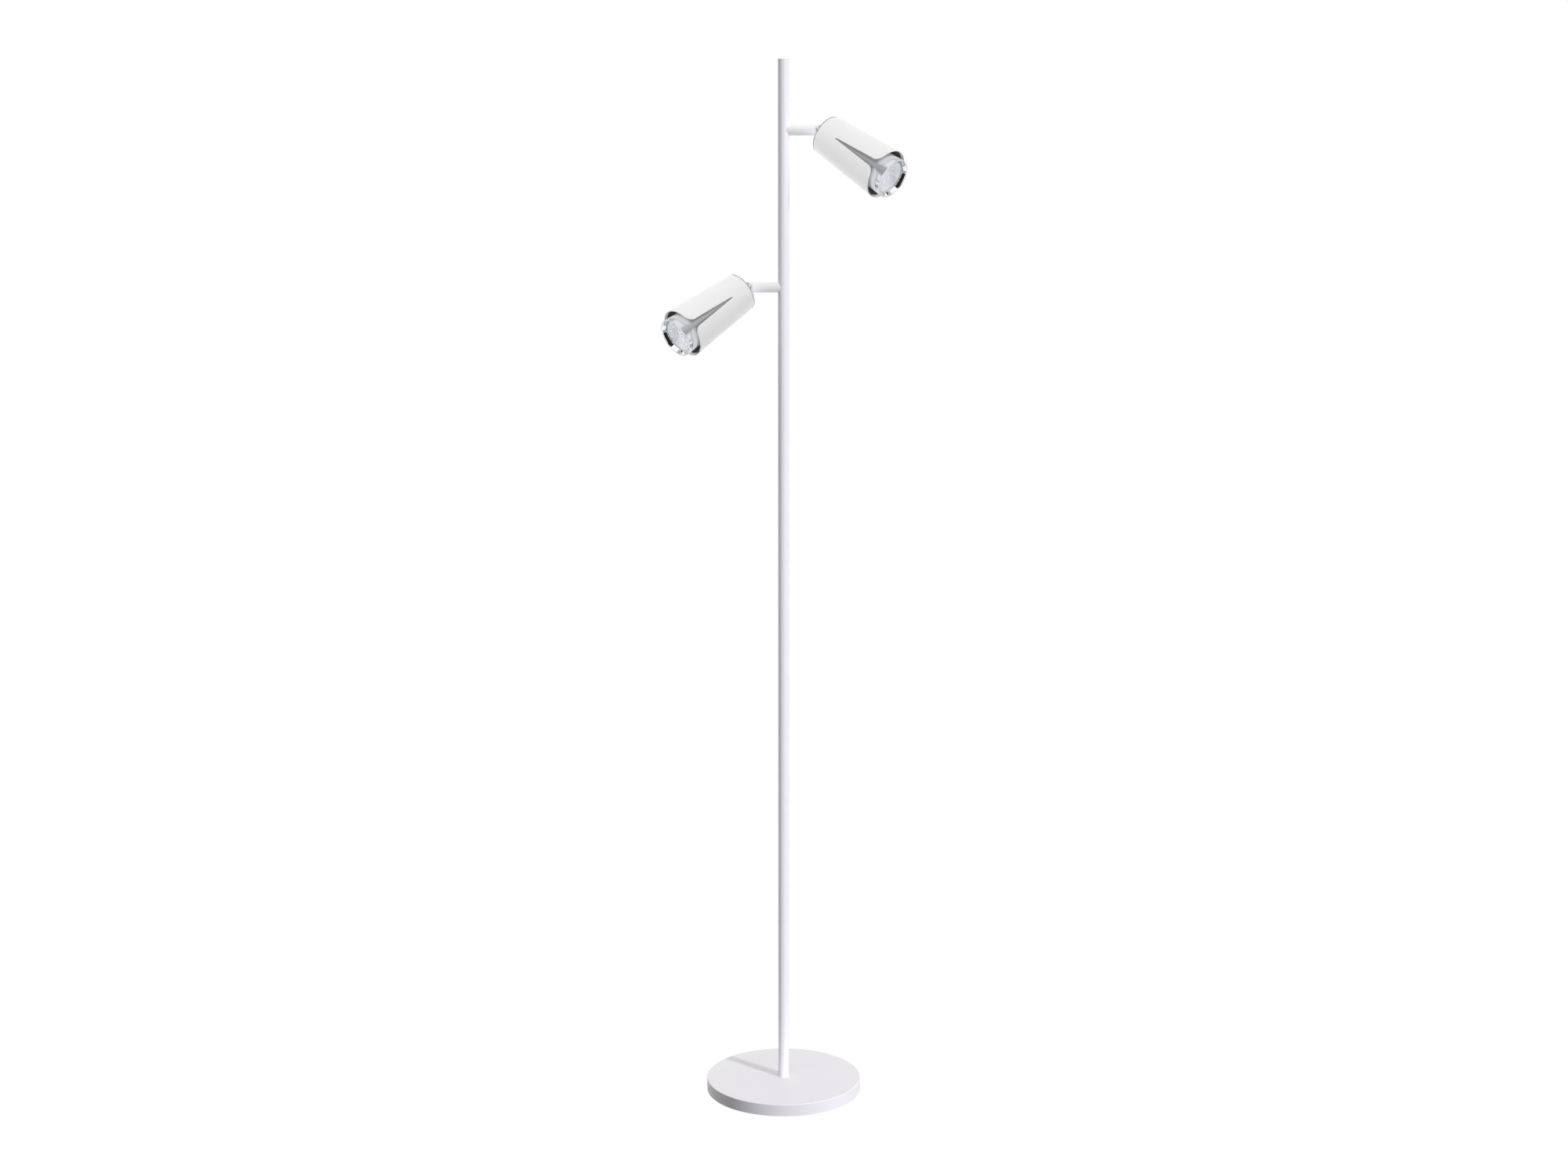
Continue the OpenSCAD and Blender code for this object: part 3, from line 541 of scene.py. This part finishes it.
def build_fine_relief():
    """Height = fine grain + a little coarse grain. Tone = slow noise about 1. Mask = fine noise."""
    group, given, made = node_group(
        "fine_relief",
        [("Grain", 900.0), ("Coarse", 0.35), ("Tone", 0.02)],
        [("Height", "NodeSocketFloat"), ("Shade", "NodeSocketFloat"), ("Mask", "NodeSocketFloat")],
    )
    place = group.nodes.new("ShaderNodeTexCoord").outputs["Object"]
    fine = noise(group, place, given.outputs["Grain"], 3.0)
    coarse = noise(group, place, maths(group, "MULTIPLY", given.outputs["Grain"], coarser), 1.0)
    height = maths(group, "ADD", fine, maths(group, "MULTIPLY", coarse, given.outputs["Coarse"]))
    slow = maths(group, "SUBTRACT", noise(group, place, tone_patches_a_metre), 0.5)
    shade = maths(group, "ADD", maths(group, "MULTIPLY", slow, given.outputs["Tone"]), 1.0)
    wire(group, height, made.inputs["Height"])
    wire(group, shade, made.inputs["Shade"])
    wire(group, fine, made.inputs["Mask"])
    return group


fine_relief = build_fine_relief()
print("nodes in the group:", len(fine_relief.nodes))

# %% [markdown]
# ## Turned metal, shared by the metal finishes
# A part that was spun or turned has faint rings that run round its axis. The group reads the piece's
# own UV map, where U counts turns and V counts metres along, and stretches a noise so that it is long
# in U and very fine in V. It puts out a height and a roughness mask.

# %% Node group: turned rings
slower_rings = 0.18


def build_turned_rings():
    """Rings = noise of (Round cos U, Round sin U, Lines V): long round the axis and thin along it."""
    group, given, made = node_group(
        "turned_rings",
        [("Lines", 1800.0), ("Round", 3.0)],
        [("Height", "NodeSocketFloat"), ("Mask", "NodeSocketFloat")],
    )
    uv = group.nodes.new("ShaderNodeUVMap")
    uv.uv_map = "finish"
    parts = group.nodes.new("ShaderNodeSeparateXYZ")
    wire(group, uv.outputs["UV"], parts.inputs[0])
    turn = maths(group, "MULTIPLY", parts.outputs["X"], 2 * math.pi)
    stretched = group.nodes.new("ShaderNodeCombineXYZ")
    ring_x = maths(group, "MULTIPLY", maths(group, "COSINE", turn), given.outputs["Round"])
    ring_y = maths(group, "MULTIPLY", maths(group, "SINE", turn), given.outputs["Round"])
    along = maths(group, "MULTIPLY", parts.outputs["Y"], given.outputs["Lines"])
    for socket, value in zip(stretched.inputs, (ring_x, ring_y, along)):
        wire(group, value, socket)
    rings = noise(group, stretched.outputs[0], 1.0, 4.0)
    soft = noise(group, stretched.outputs[0], slower_rings, 1.0)
    wire(group, rings, made.inputs["Height"])
    wire(group, maths(group, "MULTIPLY", rings, soft), made.inputs["Mask"])
    return group


turned_rings = build_turned_rings()
print("nodes in the group:", len(turned_rings.nodes))

# %% [markdown]
# ## A finish from its parts
# Each material is one Principled shader. What is the same all over is set on its own sockets. What
# changes over the surface comes from a group: the tone multiplies the colour, where the group has one,
# the mask moves the roughness about its middle, and the height goes through Bump to the normal.

# %% Build a finish


def finish(name, colour, roughness, group, settings, depth, spread, **sockets):
    """Principled material: colour x tone, roughness + spread x (mask - 1/2), bump from height."""
    material = bpy.data.materials.new(name)
    material.use_nodes = True
    tree = material.node_tree
    shader = tree.nodes["Principled BSDF"]
    for label, value in sockets.items():
        shader.inputs[label.replace("_", " ")].default_value = value
    pattern = tree.nodes.new("ShaderNodeGroup")
    pattern.node_tree = group
    for label, value in settings.items():
        pattern.inputs[label].default_value = value
    if "Shade" in pattern.outputs:
        mixed = tree.nodes.new("ShaderNodeVectorMath")
        mixed.operation = "SCALE"
        mixed.inputs[0].default_value = colour
        wire(tree, pattern.outputs["Shade"], mixed.inputs["Scale"])
        wire(tree, mixed.outputs[0], shader.inputs["Base Color"])
    else:
        shader.inputs["Base Color"].default_value = (*colour, 1)
    centred = maths(tree, "SUBTRACT", pattern.outputs["Mask"], 0.5)
    varied = maths(tree, "MULTIPLY", centred, spread)
    wire(tree, maths(tree, "ADD", varied, roughness), shader.inputs["Roughness"])
    bump = tree.nodes.new("ShaderNodeBump")
    bump.inputs["Distance"].default_value = depth
    bump.inputs["Strength"].default_value = 1.0
    wire(tree, pattern.outputs["Height"], bump.inputs["Height"])
    wire(tree, bump.outputs["Normal"], shader.inputs["Normal"])
    return material


# %% Colours as they look on screen, made linear


def linear(red, green, blue):
    """Linear colour from sRGB values between 0 and 255."""
    value = np.array([red, green, blue]) / 255
    return tuple(np.where(value <= 0.04045, value / 12.92, ((value + 0.055) / 1.055) ** 2.4))


# %% [markdown]
# ## The finishes
# The pole and base are powder coated in a white that leans to lavender, and the shades are sprayed in
# a neutral white lacquer with a finer skin. The barrel is satin aluminium, and the two rings are
# chromed, though the back ring's chrome is dimmed to grey as a painted dark reflection. What is
# inside, or shows only from below, has its own plain workshop finish.

# %% Paint, metal, plastic, ceramic and glass
powder_white = finish(
    "powder_white", linear(239, 237, 243), 0.46, fine_relief,
    {"Grain": 1300.0, "Coarse": 0.6, "Tone": 0.02}, 0.03 * MM, 0.12,
)
lacquer_white = finish(
    "lacquer_white", linear(243, 243, 244), 0.38, fine_relief,
    {"Grain": 2200.0, "Coarse": 0.3, "Tone": 0.012}, 0.01 * MM, 0.08,
)
arm_white = finish(
    "arm_white", linear(247, 249, 252), 0.42, fine_relief,
    {"Grain": 1300.0, "Coarse": 0.6, "Tone": 0.02}, 0.03 * MM, 0.12,
)
satin_silver = finish(
    "satin_silver", linear(223, 225, 228), 0.15, turned_rings,
    {"Lines": 1800.0, "Round": 3.0}, 0.002 * MM, 0.1, Metallic=1.0,
)
chrome = finish(
    "chrome", linear(250, 250, 251), 0.035, turned_rings,
    {"Lines": 900.0, "Round": 2.0}, 0.0003 * MM, 0.02, Metallic=1.0,
)
# The back ring's chrome is dimmed to grey: a painted dark reflection of the gap behind the shade.
dimmed_chrome_painted_reflection = finish(
    "dimmed_chrome_painted_reflection", linear(172, 174, 177), 0.08, fine_relief,
    {"Grain": 700.0, "Coarse": 0.2, "Tone": 0.02}, 0.002 * MM, 0.04, Metallic=1.0,
)
zinc_steel = finish(
    "zinc_steel", linear(186, 190, 194), 0.34, fine_relief,
    {"Grain": 600.0, "Coarse": 0.8, "Tone": 0.14}, 0.02 * MM, 0.2, Metallic=1.0,
)
cast_iron = finish(
    "cast_iron", linear(84, 84, 87), 0.72, fine_relief,
    {"Grain": 420.0, "Coarse": 1.0, "Tone": 0.25}, 0.25 * MM, 0.2, Metallic=0.6,
)
turned_brass = finish(
    "turned_brass", linear(206, 176, 98), 0.28, fine_relief,
    {"Grain": 900.0, "Coarse": 0.4, "Tone": 0.08}, 0.01 * MM, 0.1, Metallic=1.0,
)
black_rubber = finish(
    "black_rubber", linear(38, 38, 39), 0.75, fine_relief,
    {"Grain": 1500.0, "Coarse": 0.5, "Tone": 0.1}, 0.04 * MM, 0.12,
)
white_nylon = finish(
    "white_nylon", linear(232, 229, 219), 0.5, fine_relief,
    {"Grain": 1100.0, "Coarse": 0.4, "Tone": 0.03}, 0.012 * MM, 0.1,
)
lead_sheath = finish(
    "lead_sheath", linear(226, 226, 221), 0.55, fine_relief,
    {"Grain": 1600.0, "Coarse": 0.3, "Tone": 0.04}, 0.015 * MM, 0.1,
)
white_ceramic = finish(
    "white_ceramic", linear(236, 231, 221), 0.3, fine_relief,
    {"Grain": 800.0, "Coarse": 0.5, "Tone": 0.04}, 0.015 * MM, 0.15, Coat_Weight=0.4,
)
lamp_white = finish(
    "lamp_white", linear(232, 234, 236), 0.22, fine_relief,
    {"Grain": 1000.0, "Coarse": 0.3, "Tone": 0.02}, 0.005 * MM, 0.08,
)
# The faint emission is a painted glow that stands in for light gathered from around the lens.
clear_lens = finish(
    "clear_lens", linear(240, 242, 246), 0.12, fine_relief,
    {"Grain": 500.0, "Coarse": 1.0, "Tone": 0.005}, 0.01 * MM, 0.03,
    Transmission_Weight=0.65, IOR=1.49, Emission_Color=(1, 1, 1, 1), Emission_Strength=0.05,
)
print("finishes:", len([material for material in bpy.data.materials if material.use_nodes]))

# %% [markdown]
# ## Three finishes that need one thing more
# The lens is a little milky, and has a faint painted glow that stands in for the light that it gathers
# from outside the picture. It also has to let the lamps' light through to what lies under it. A glass
# shader throws a full shadow, so rays that ask for shadow pass a plain transparent one instead. The
# shade's inner side wears painted shade: its lacquer white is kept at the front edge and darkened to
# near black deeper in, and the mask for that is the distance from the edge, read from the sheet's UV
# map. The cut edges of the slit are darkened the same way, as a painted shadow that draws its two thin
# dark lines. The barrel, though, mirrors the inner side as a soft light grey, so reflections meet a
# painted glow there instead, brighter near the edge.

# %% Lens that casts no shadow


def pass_shadows(material):
    """Shadow rays meet a transparent shader instead of the glass."""
    tree = material.node_tree
    clear = tree.nodes.new("ShaderNodeBsdfTransparent")
    chosen = tree.nodes.new("ShaderNodeMixShader")
    shadow = tree.nodes.new("ShaderNodeLightPath").outputs["Is Shadow Ray"]
    wire(tree, shadow, chosen.inputs[0])
    wire(tree, tree.nodes["Principled BSDF"].outputs[0], chosen.inputs[1])
    wire(tree, clear.outputs[0], chosen.inputs[2])
    wire(tree, chosen.outputs[0], tree.nodes["Material Output"].inputs[0])


pass_shadows(clear_lens)

# %% Node group: near the shade's front edge
shade_back, shade_front, shade_back_r, shade_front_r = cone_of("upper", "upper_shade")[:4]
sheet_length = math.hypot(shade_front - shade_back, shade_front_r - shade_back_r)
print("length of the sheet in mm:", round(sheet_length / MM, 2))


def build_edge_step():
    """Share = smooth step from Deep to Edge, as V passes from Reach + Fade to Reach before the edge."""
    labels = ("Length", "Reach", "Fade", "Deep", "Edge")
    group, given, made = node_group(
        "edge_step", [(label, 1.0) for label in labels], [("Share", "NodeSocketFloat")]
    )
    length, reach, fade, deep, edge = (given.outputs[label] for label in labels)
    uv = group.nodes.new("ShaderNodeUVMap")
    uv.uv_map = "finish"
    parts = group.nodes.new("ShaderNodeSeparateXYZ")
    wire(group, uv.outputs["UV"], parts.inputs[0])
    end = maths(group, "SUBTRACT", length, reach)
    step = group.nodes.new("ShaderNodeMapRange")
    step.interpolation_type = "SMOOTHSTEP"
    wire(group, parts.outputs["Y"], step.inputs["Value"])
    wire(group, maths(group, "SUBTRACT", end, fade), step.inputs["From Min"])
    wire(group, end, step.inputs["From Max"])
    wire(group, deep, step.inputs["To Min"])
    wire(group, edge, step.inputs["To Max"])
    wire(group, step.outputs["Result"], made.inputs["Share"])
    return group


edge_step = build_edge_step()

# %% The group placed in a material, and a colour made darker by it


def near_the_edge(material, **values):
    """Share from the group, placed in a material with its own values."""
    placed = material.node_tree.nodes.new("ShaderNodeGroup")
    placed.node_tree = edge_step
    placed.inputs["Length"].default_value = sheet_length
    for label, value in values.items():
        placed.inputs[label].default_value = value
    return placed.outputs["Share"]


def dim(material, share):
    """Makes the base colour the material's own colour times a share that varies over the surface."""
    tree = material.node_tree
    shader = tree.nodes["Principled BSDF"]
    scaled = tree.nodes.new("ShaderNodeVectorMath")
    scaled.operation = "SCALE"
    wire(tree, shader.inputs["Base Color"].links[0].from_socket, scaled.inputs[0])
    wire(tree, share, scaled.inputs["Scale"])
    wire(tree, scaled.outputs[0], shader.inputs["Base Color"])


# %% Painted shade inside the shade and along its slit, with a painted glow for reflections


def glow_in_reflections(material, grey):
    """Glossy rays meet a painted glow, a painted reflection whose grey varies over the surface, not the
    paint.
    """
    tree = material.node_tree
    glow = tree.nodes.new("ShaderNodeEmission")
    wire(tree, grey, glow.inputs["Color"])
    chosen = tree.nodes.new("ShaderNodeMixShader")
    wire(tree, tree.nodes.new("ShaderNodeLightPath").outputs["Is Glossy Ray"], chosen.inputs[0])
    wire(tree, tree.nodes["Principled BSDF"].outputs[0], chosen.inputs[1])
    wire(tree, glow.outputs[0], chosen.inputs[2])
    wire(tree, chosen.outputs[0], tree.nodes["Material Output"].inputs[0])


# Painted shade: both finishes are lacquer white, darkened to near black away from the shade's front
# edge.
inner_painted_shade_and_glow, edge_painted_shade = (
    finish(
        name, linear(243, 243, 243), 0.5, fine_relief,
        {"Grain": 1600.0, "Coarse": 0.6, "Tone": 0.03}, 0.03 * MM, 0.15,
    )
    for name in ("inner_painted_shade_and_glow", "edge_painted_shade")
)
# Painted shade on the inner side: dark deep inside, white only within a few mm of the front edge.
dim(inner_painted_shade_and_glow, near_the_edge(inner_painted_shade_and_glow, Reach=1.5 * MM, Fade=4 * MM, Deep=0.02, Edge=1.0))
# Painted shadow along the cut edges: dark except within about 8 mm of the front edge.
dim(edge_painted_shade, near_the_edge(edge_painted_shade, Reach=8 * MM, Fade=6 * MM, Deep=0.04, Edge=1.0))
# Painted glow: the grey that reflections meet on the inner side, lighter near the front edge.
grey = near_the_edge(inner_painted_shade_and_glow, Reach=5 * MM, Fade=9 * MM, Deep=0.33, Edge=0.85)
glow_in_reflections(inner_painted_shade_and_glow, grey)
print("nodes in the overspray finish:", len(inner_painted_shade_and_glow.node_tree.nodes))

# %% [markdown]
# ## Which piece wears which finish
# The imported record names a material slot for every node. The finishes above go on by slot, and the
# new shells take the slot of the node that they stand for. The two arms wear a finish of their own,
# a little whiter than the pole's. A shade's second and third slots are its inner side and cut edges,
# which wear painted shade.

# %% Dress the imported nodes and the new shells
FINISH_OF_SLOT = {
    "white_paint": powder_white,
    "shade_paint": lacquer_white,
    "satin_aluminium": satin_silver,
    "bright_chrome": dimmed_chrome_painted_reflection,
    "zinc_steel": zinc_steel,
    "cast_iron": cast_iron,
    "brass": turned_brass,
    "black_rubber": black_rubber,
    "white_nylon": white_nylon,
    "lead_sheath": lead_sheath,
    "white_ceramic": white_ceramic,
    "lamp_white": lamp_white,
    "clear_lens": clear_lens,
}
slot_of_node = {part["node"]: part["material_slot"] for part in frame["record"]["subparts"]}


def dress(obj, material):
    """Gives an object one material, in its first slot."""
    obj.data.materials.clear()
    obj.data.materials.append(material)


for name, node in nodes.items():
    dress(node, FINISH_OF_SLOT[slot_of_node[name]])
for side in SIDES:
    dress(nodes[side + "_arm"], arm_white)

for side in SIDES:
    for shell, node, material in (
        (shades[side], side + "_shade", lacquer_white),
        (barrels[side], side + "_barrel", satin_silver),
        (mouths[side], side + "_mouth_ring", chrome),
        (lenses[side], side + "_lamp_lens", clear_lens),
    ):
        dress(shell, material)
        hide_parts(node)
        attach(shell, side + "_head")
    # The inner side and the cut edges take the two painted shade finishes.
    shades[side].data.materials.append(inner_painted_shade_and_glow)
    shades[side].data.materials.append(edge_painted_shade)
print("nodes dressed:", len(nodes))

# %% [markdown]
# ## The studio
# The picture is shot on white. The floor and the world are white where the camera looks at them, so
# the lamp stands on white without any light being turned up. Ordinary light meets a plainer, darker
# world, which keeps the shaded sides of the pole, and whose lower half is darker still, because it
# stands in for the floor under the lamp. Metal mirrors a third one: a white room with a few
# dark flags, which draw the black in the polished mouths and the greys on the barrels. Each flag is a
# window of azimuth and elevation. Azimuth counts from the front to either side, so the two heads,
# which point opposite ways, mirror the same thing.

# %% Node group: a window in the sky


def ramp(tree, value, soft):
    """0 below -soft/2, 1 above +soft/2 and a straight rise between them."""
    output = maths(tree, "ADD", maths(tree, "DIVIDE", value, soft), 0.5)
    output.node.use_clamp = True
    return output


def build_sky_window():
    """Mask = 1 between From and To in azimuth and between Bottom and Top in elevation, in degrees."""
    labels = ("Azimuth", "Elevation", "From", "To", "Bottom", "Top", "Soft")
    group, given, made = node_group(
        "sky_window", [(label, 1.0) for label in labels], [("Mask", "NodeSocketFloat")]
    )
    azimuth, elevation, start, end, bottom, top, soft = (given.outputs[label] for label in labels)
    mask = ramp(group, maths(group, "SUBTRACT", azimuth, start), soft)
    for first, second in ((end, azimuth), (elevation, bottom), (top, elevation)):
        side = ramp(group, maths(group, "SUBTRACT", first, second), soft)
        mask = maths(group, "MULTIPLY", mask, side)
    wire(group, mask, made.inputs["Mask"])
    return group


sky_window = build_sky_window()
print("nodes in the group:", len(sky_window.nodes))

# %% The room that metal mirrors
# Each flag: azimuth from and to, elevation from and to, softness of its edge, and its brightness.
flags = (
    (-5, 7, 3, 35, 1.0, 0.02),
    (6, 22, -10, 22, 1.0, 0.02),
    (18, 34, -25, 4, 1.0, 0.02),
    (30, 50, -44, -16, 1.0, 0.02),
    (50, 67, -57, -40, 4.0, 0.35),
    (64, 96, 17, 58, 14.0, 0.38),
    (86, 98, -17, -6, 6.0, 0.62),
    (98, 106, -24, -14, 2.0, 1.20),
    (106, 127, -40, -21, 3.0, 0.39),
    (145, 165, 12, 62, 8.0, 0.45),
    (98, 112, 42, 50, 3.0, 0.30),
)


def looked_along(tree):
    """Azimuth from the front to either side, and elevation, of the ray's direction, in degrees."""
    to_eye = tree.nodes.new("ShaderNodeNewGeometry").outputs["Incoming"]
    parts = tree.nodes.new("ShaderNodeSeparateXYZ")
    wire(tree, to_eye, parts.inputs[0])
    sideways = maths(tree, "ABSOLUTE", parts.outputs["X"])
    azimuth = maths(tree, "DEGREES", maths(tree, "ARCTAN2", sideways, parts.outputs["Y"]))
    down = maths(tree, "DEGREES", maths(tree, "ARCSINE", parts.outputs["Z"]))
    return azimuth, maths(tree, "MULTIPLY", down, -1.0)


def mirrored_room(tree, azimuth, elevation):
    """Brightness seen along a direction: 1, replaced inside each flag by the flag's own value."""
    brightness = 1.0
    for *limits, value in flags:
        window = tree.nodes.new("ShaderNodeGroup")
        window.node_tree = sky_window
        wire(tree, azimuth, window.inputs["Azimuth"])
        wire(tree, elevation, window.inputs["Elevation"])
        for label, number in zip(("From", "To", "Bottom", "Top", "Soft"), limits):
            window.inputs[label].default_value = number
        mask = window.outputs["Mask"]
        change = maths(tree, "MULTIPLY", maths(tree, "SUBTRACT", value, brightness), mask)
        brightness = maths(tree, "ADD", brightness, change)
    return brightness


print("flags in the mirrored room:", len(flags))

# %% The world
ambient = 0.36
ambient_below = 0.05
horizon_soft = 4.0
ambient_colour = (1.0, 0.99, 0.95, 1)


def build_world():
    """Ambient light for matt surfaces, white for the camera and glass, the room for reflections."""
    world = bpy.data.worlds.new("white_studio")
    world.use_nodes = True
    tree = world.node_tree
    path = tree.nodes.new("ShaderNodeLightPath").outputs
    ordinary = tree.nodes["Background"]
    ordinary.inputs["Color"].default_value = ambient_colour
    azimuth, elevation = looked_along(tree)
    sky = maths(tree, "MULTIPLY", ramp(tree, elevation, horizon_soft), ambient - ambient_below)
    wire(tree, maths(tree, "ADD", sky, ambient_below), ordinary.inputs["Strength"])
    white = tree.nodes.new("ShaderNodeBackground")
    white.inputs["Color"].default_value = (1, 1, 1, 1)
    mirrored = tree.nodes.new("ShaderNodeBackground")
    wire(tree, mirrored_room(tree, azimuth, elevation), mirrored.inputs["Strength"])
    mirrored.inputs["Color"].default_value = (1, 1, 1, 1)
    direct = tree.nodes.new("ShaderNodeMixShader")
    seen = maths(tree, "MAXIMUM", path["Is Camera Ray"], path["Is Transmission Ray"])
    wire(tree, seen, direct.inputs[0])
    wire(tree, ordinary.outputs[0], direct.inputs[1])
    wire(tree, white.outputs[0], direct.inputs[2])
    whole = tree.nodes.new("ShaderNodeMixShader")
    wire(tree, path["Is Glossy Ray"], whole.inputs[0])
    wire(tree, direct.outputs[0], whole.inputs[1])
    wire(tree, mirrored.outputs[0], whole.inputs[2])
    wire(tree, whole.outputs[0], tree.nodes["World Output"].inputs[0])
    return world


scene.world = build_world()
print("nodes in the world:", len(scene.world.node_tree.nodes))

# %% [markdown]
# ## The floor
# The floor glows white for the camera, with a small share of a matt floor mixed in, so that the
# lamp's own shadow still shows faintly. Ordinary light and reflections don't meet the floor: the dark
# lower half of the world stands in for it, and lamps can light the heads from below.

# %% White floor
floor_size = 12
matt_grey = 0.5
matt_roughness = 0.9
floor_glow = 0.965
matt_share = 0.15


def build_floor_material():
    """glow + matt x share, so a shadow takes away a part of the share."""
    material = bpy.data.materials.new("white_floor")
    material.use_nodes = True
    tree = material.node_tree
    matt = tree.nodes["Principled BSDF"]
    matt.inputs["Base Color"].default_value = (matt_grey, matt_grey, matt_grey, 1)
    matt.inputs["Roughness"].default_value = matt_roughness
    matt.inputs["Specular IOR Level"].default_value = 0.0
    glow = tree.nodes.new("ShaderNodeEmission")
    glow.inputs["Strength"].default_value = floor_glow / (1 - matt_share)
    share = tree.nodes.new("ShaderNodeMixShader")
    share.inputs[0].default_value = 1 - matt_share
    wire(tree, matt.outputs[0], share.inputs[1])
    wire(tree, glow.outputs[0], share.inputs[2])
    wire(tree, share.outputs[0], tree.nodes["Material Output"].inputs[0])
    return material


floor_mesh = bpy.data.meshes.new("studio_floor")
corner = floor_size / 2
floor_corners = [(-corner, -corner, 0), (corner, -corner, 0), (corner, corner, 0), (-corner, corner, 0)]
floor_mesh.from_pydata(floor_corners, [], [(0, 1, 2, 3)])
floor = bpy.data.objects.new("studio_floor", floor_mesh)
floor.visible_glossy = False
floor.visible_diffuse = False
floor.visible_shadow = False
scene.collection.objects.link(floor)
dress(floor, build_floor_material())
floor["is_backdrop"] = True
print("floor in m:", floor_size, "x", floor_size)

# %% [markdown]
# ## The light
# The pole, the base, the floor and each head have lamps of their own, as if each had been shot by
# itself. A low key light from the front right draws the pole's round form, and a stronger one beside
# it lights the base and lays the pole's thin shadow across it. A rim light from behind on the left
# draws the end of the base's side. Broad lights from above brighten what faces up. The lamps of the
# two heads are set out the same way but mirrored, because the heads point opposite ways. No lamp
# shows in a reflection or through the lens: the room with the flags does.

# %% A lamp, and a group of pieces that it lights


def sun(name, from_right_of_front, elevation, irradiance, spread, colour):
    """Distant lamp: the direction that its light comes from, and its spread, in degrees."""
    data = bpy.data.lights.new(name, "SUN")
    data.energy = irradiance
    data.angle = math.radians(spread)
    data.color = colour
    obj = bpy.data.objects.new(name, data)
    obj.rotation_euler = (math.radians(90 - elevation), 0, math.radians(from_right_of_front))
    obj.visible_glossy = False
    obj.visible_transmission = False
    scene.collection.objects.link(obj)
    return obj


def light(name, pieces, lamps):
    """Light linking: these lamps light only these pieces, and no piece is in two groups."""
    group = bpy.data.collections.new(name + "_group")
    for obj in pieces:
        group.objects.link(obj)
    for lamp, *settings in lamps:
        sun(name + "_" + lamp, *settings).light_linking.receiver_collection = group


def riding(body):
    """The pieces that move with a body."""
    return [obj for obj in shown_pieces() if body_of(obj)[0] == body]


# %% Lamps of the pole, the base, the floor and the heads
# Each lamp: name, degrees to the right of the front, elevation, irradiance, spread and colour.
WHITE, LAVENDER, GREENISH = (1, 1, 1), (0.97, 0.95, 1.0), (0.98, 1.0, 0.95)
base = nodes["base_cover"]
arms = {side: nodes[side + "_arm"] for side in SIDES}
light("pole", [obj for obj in riding("root") if obj not in (base, *arms.values())], (
    ("key", 48, 16, 2.4, 5, LAVENDER),
    ("fill", -60, -20, 0.25, 60, WHITE),
    ("overhead", 0, 75, 1.5, 70, WHITE),
))
light("base", [base], (
    ("key", 48, 14.5, 2.75, 5, LAVENDER),
    ("rim", -125, 4, 0.55, 8, WHITE),
    ("overhead", 0, 90, 1.21, 20, GREENISH),
))
light("floor", [floor], (("overhead", 0, 75, 1.5, 70, WHITE),))
for side, mirror in (("upper", 1), ("lower", -1)):
    light(side, riding(side + "_head") + riding(side + "_knuckle") + [arms[side]], (
        ("overhead", 0, 75, 1.55, 70, WHITE),
        ("front", mirror * -30, 0, 0.87, 20, WHITE),
        ("side", mirror * 90, 0, 1.92, 20, WHITE),
        ("back", mirror * -135, -15, 1.72, 20, WHITE),
        ("below", mirror * -50, -45, 0.84, 20, WHITE),
    ))
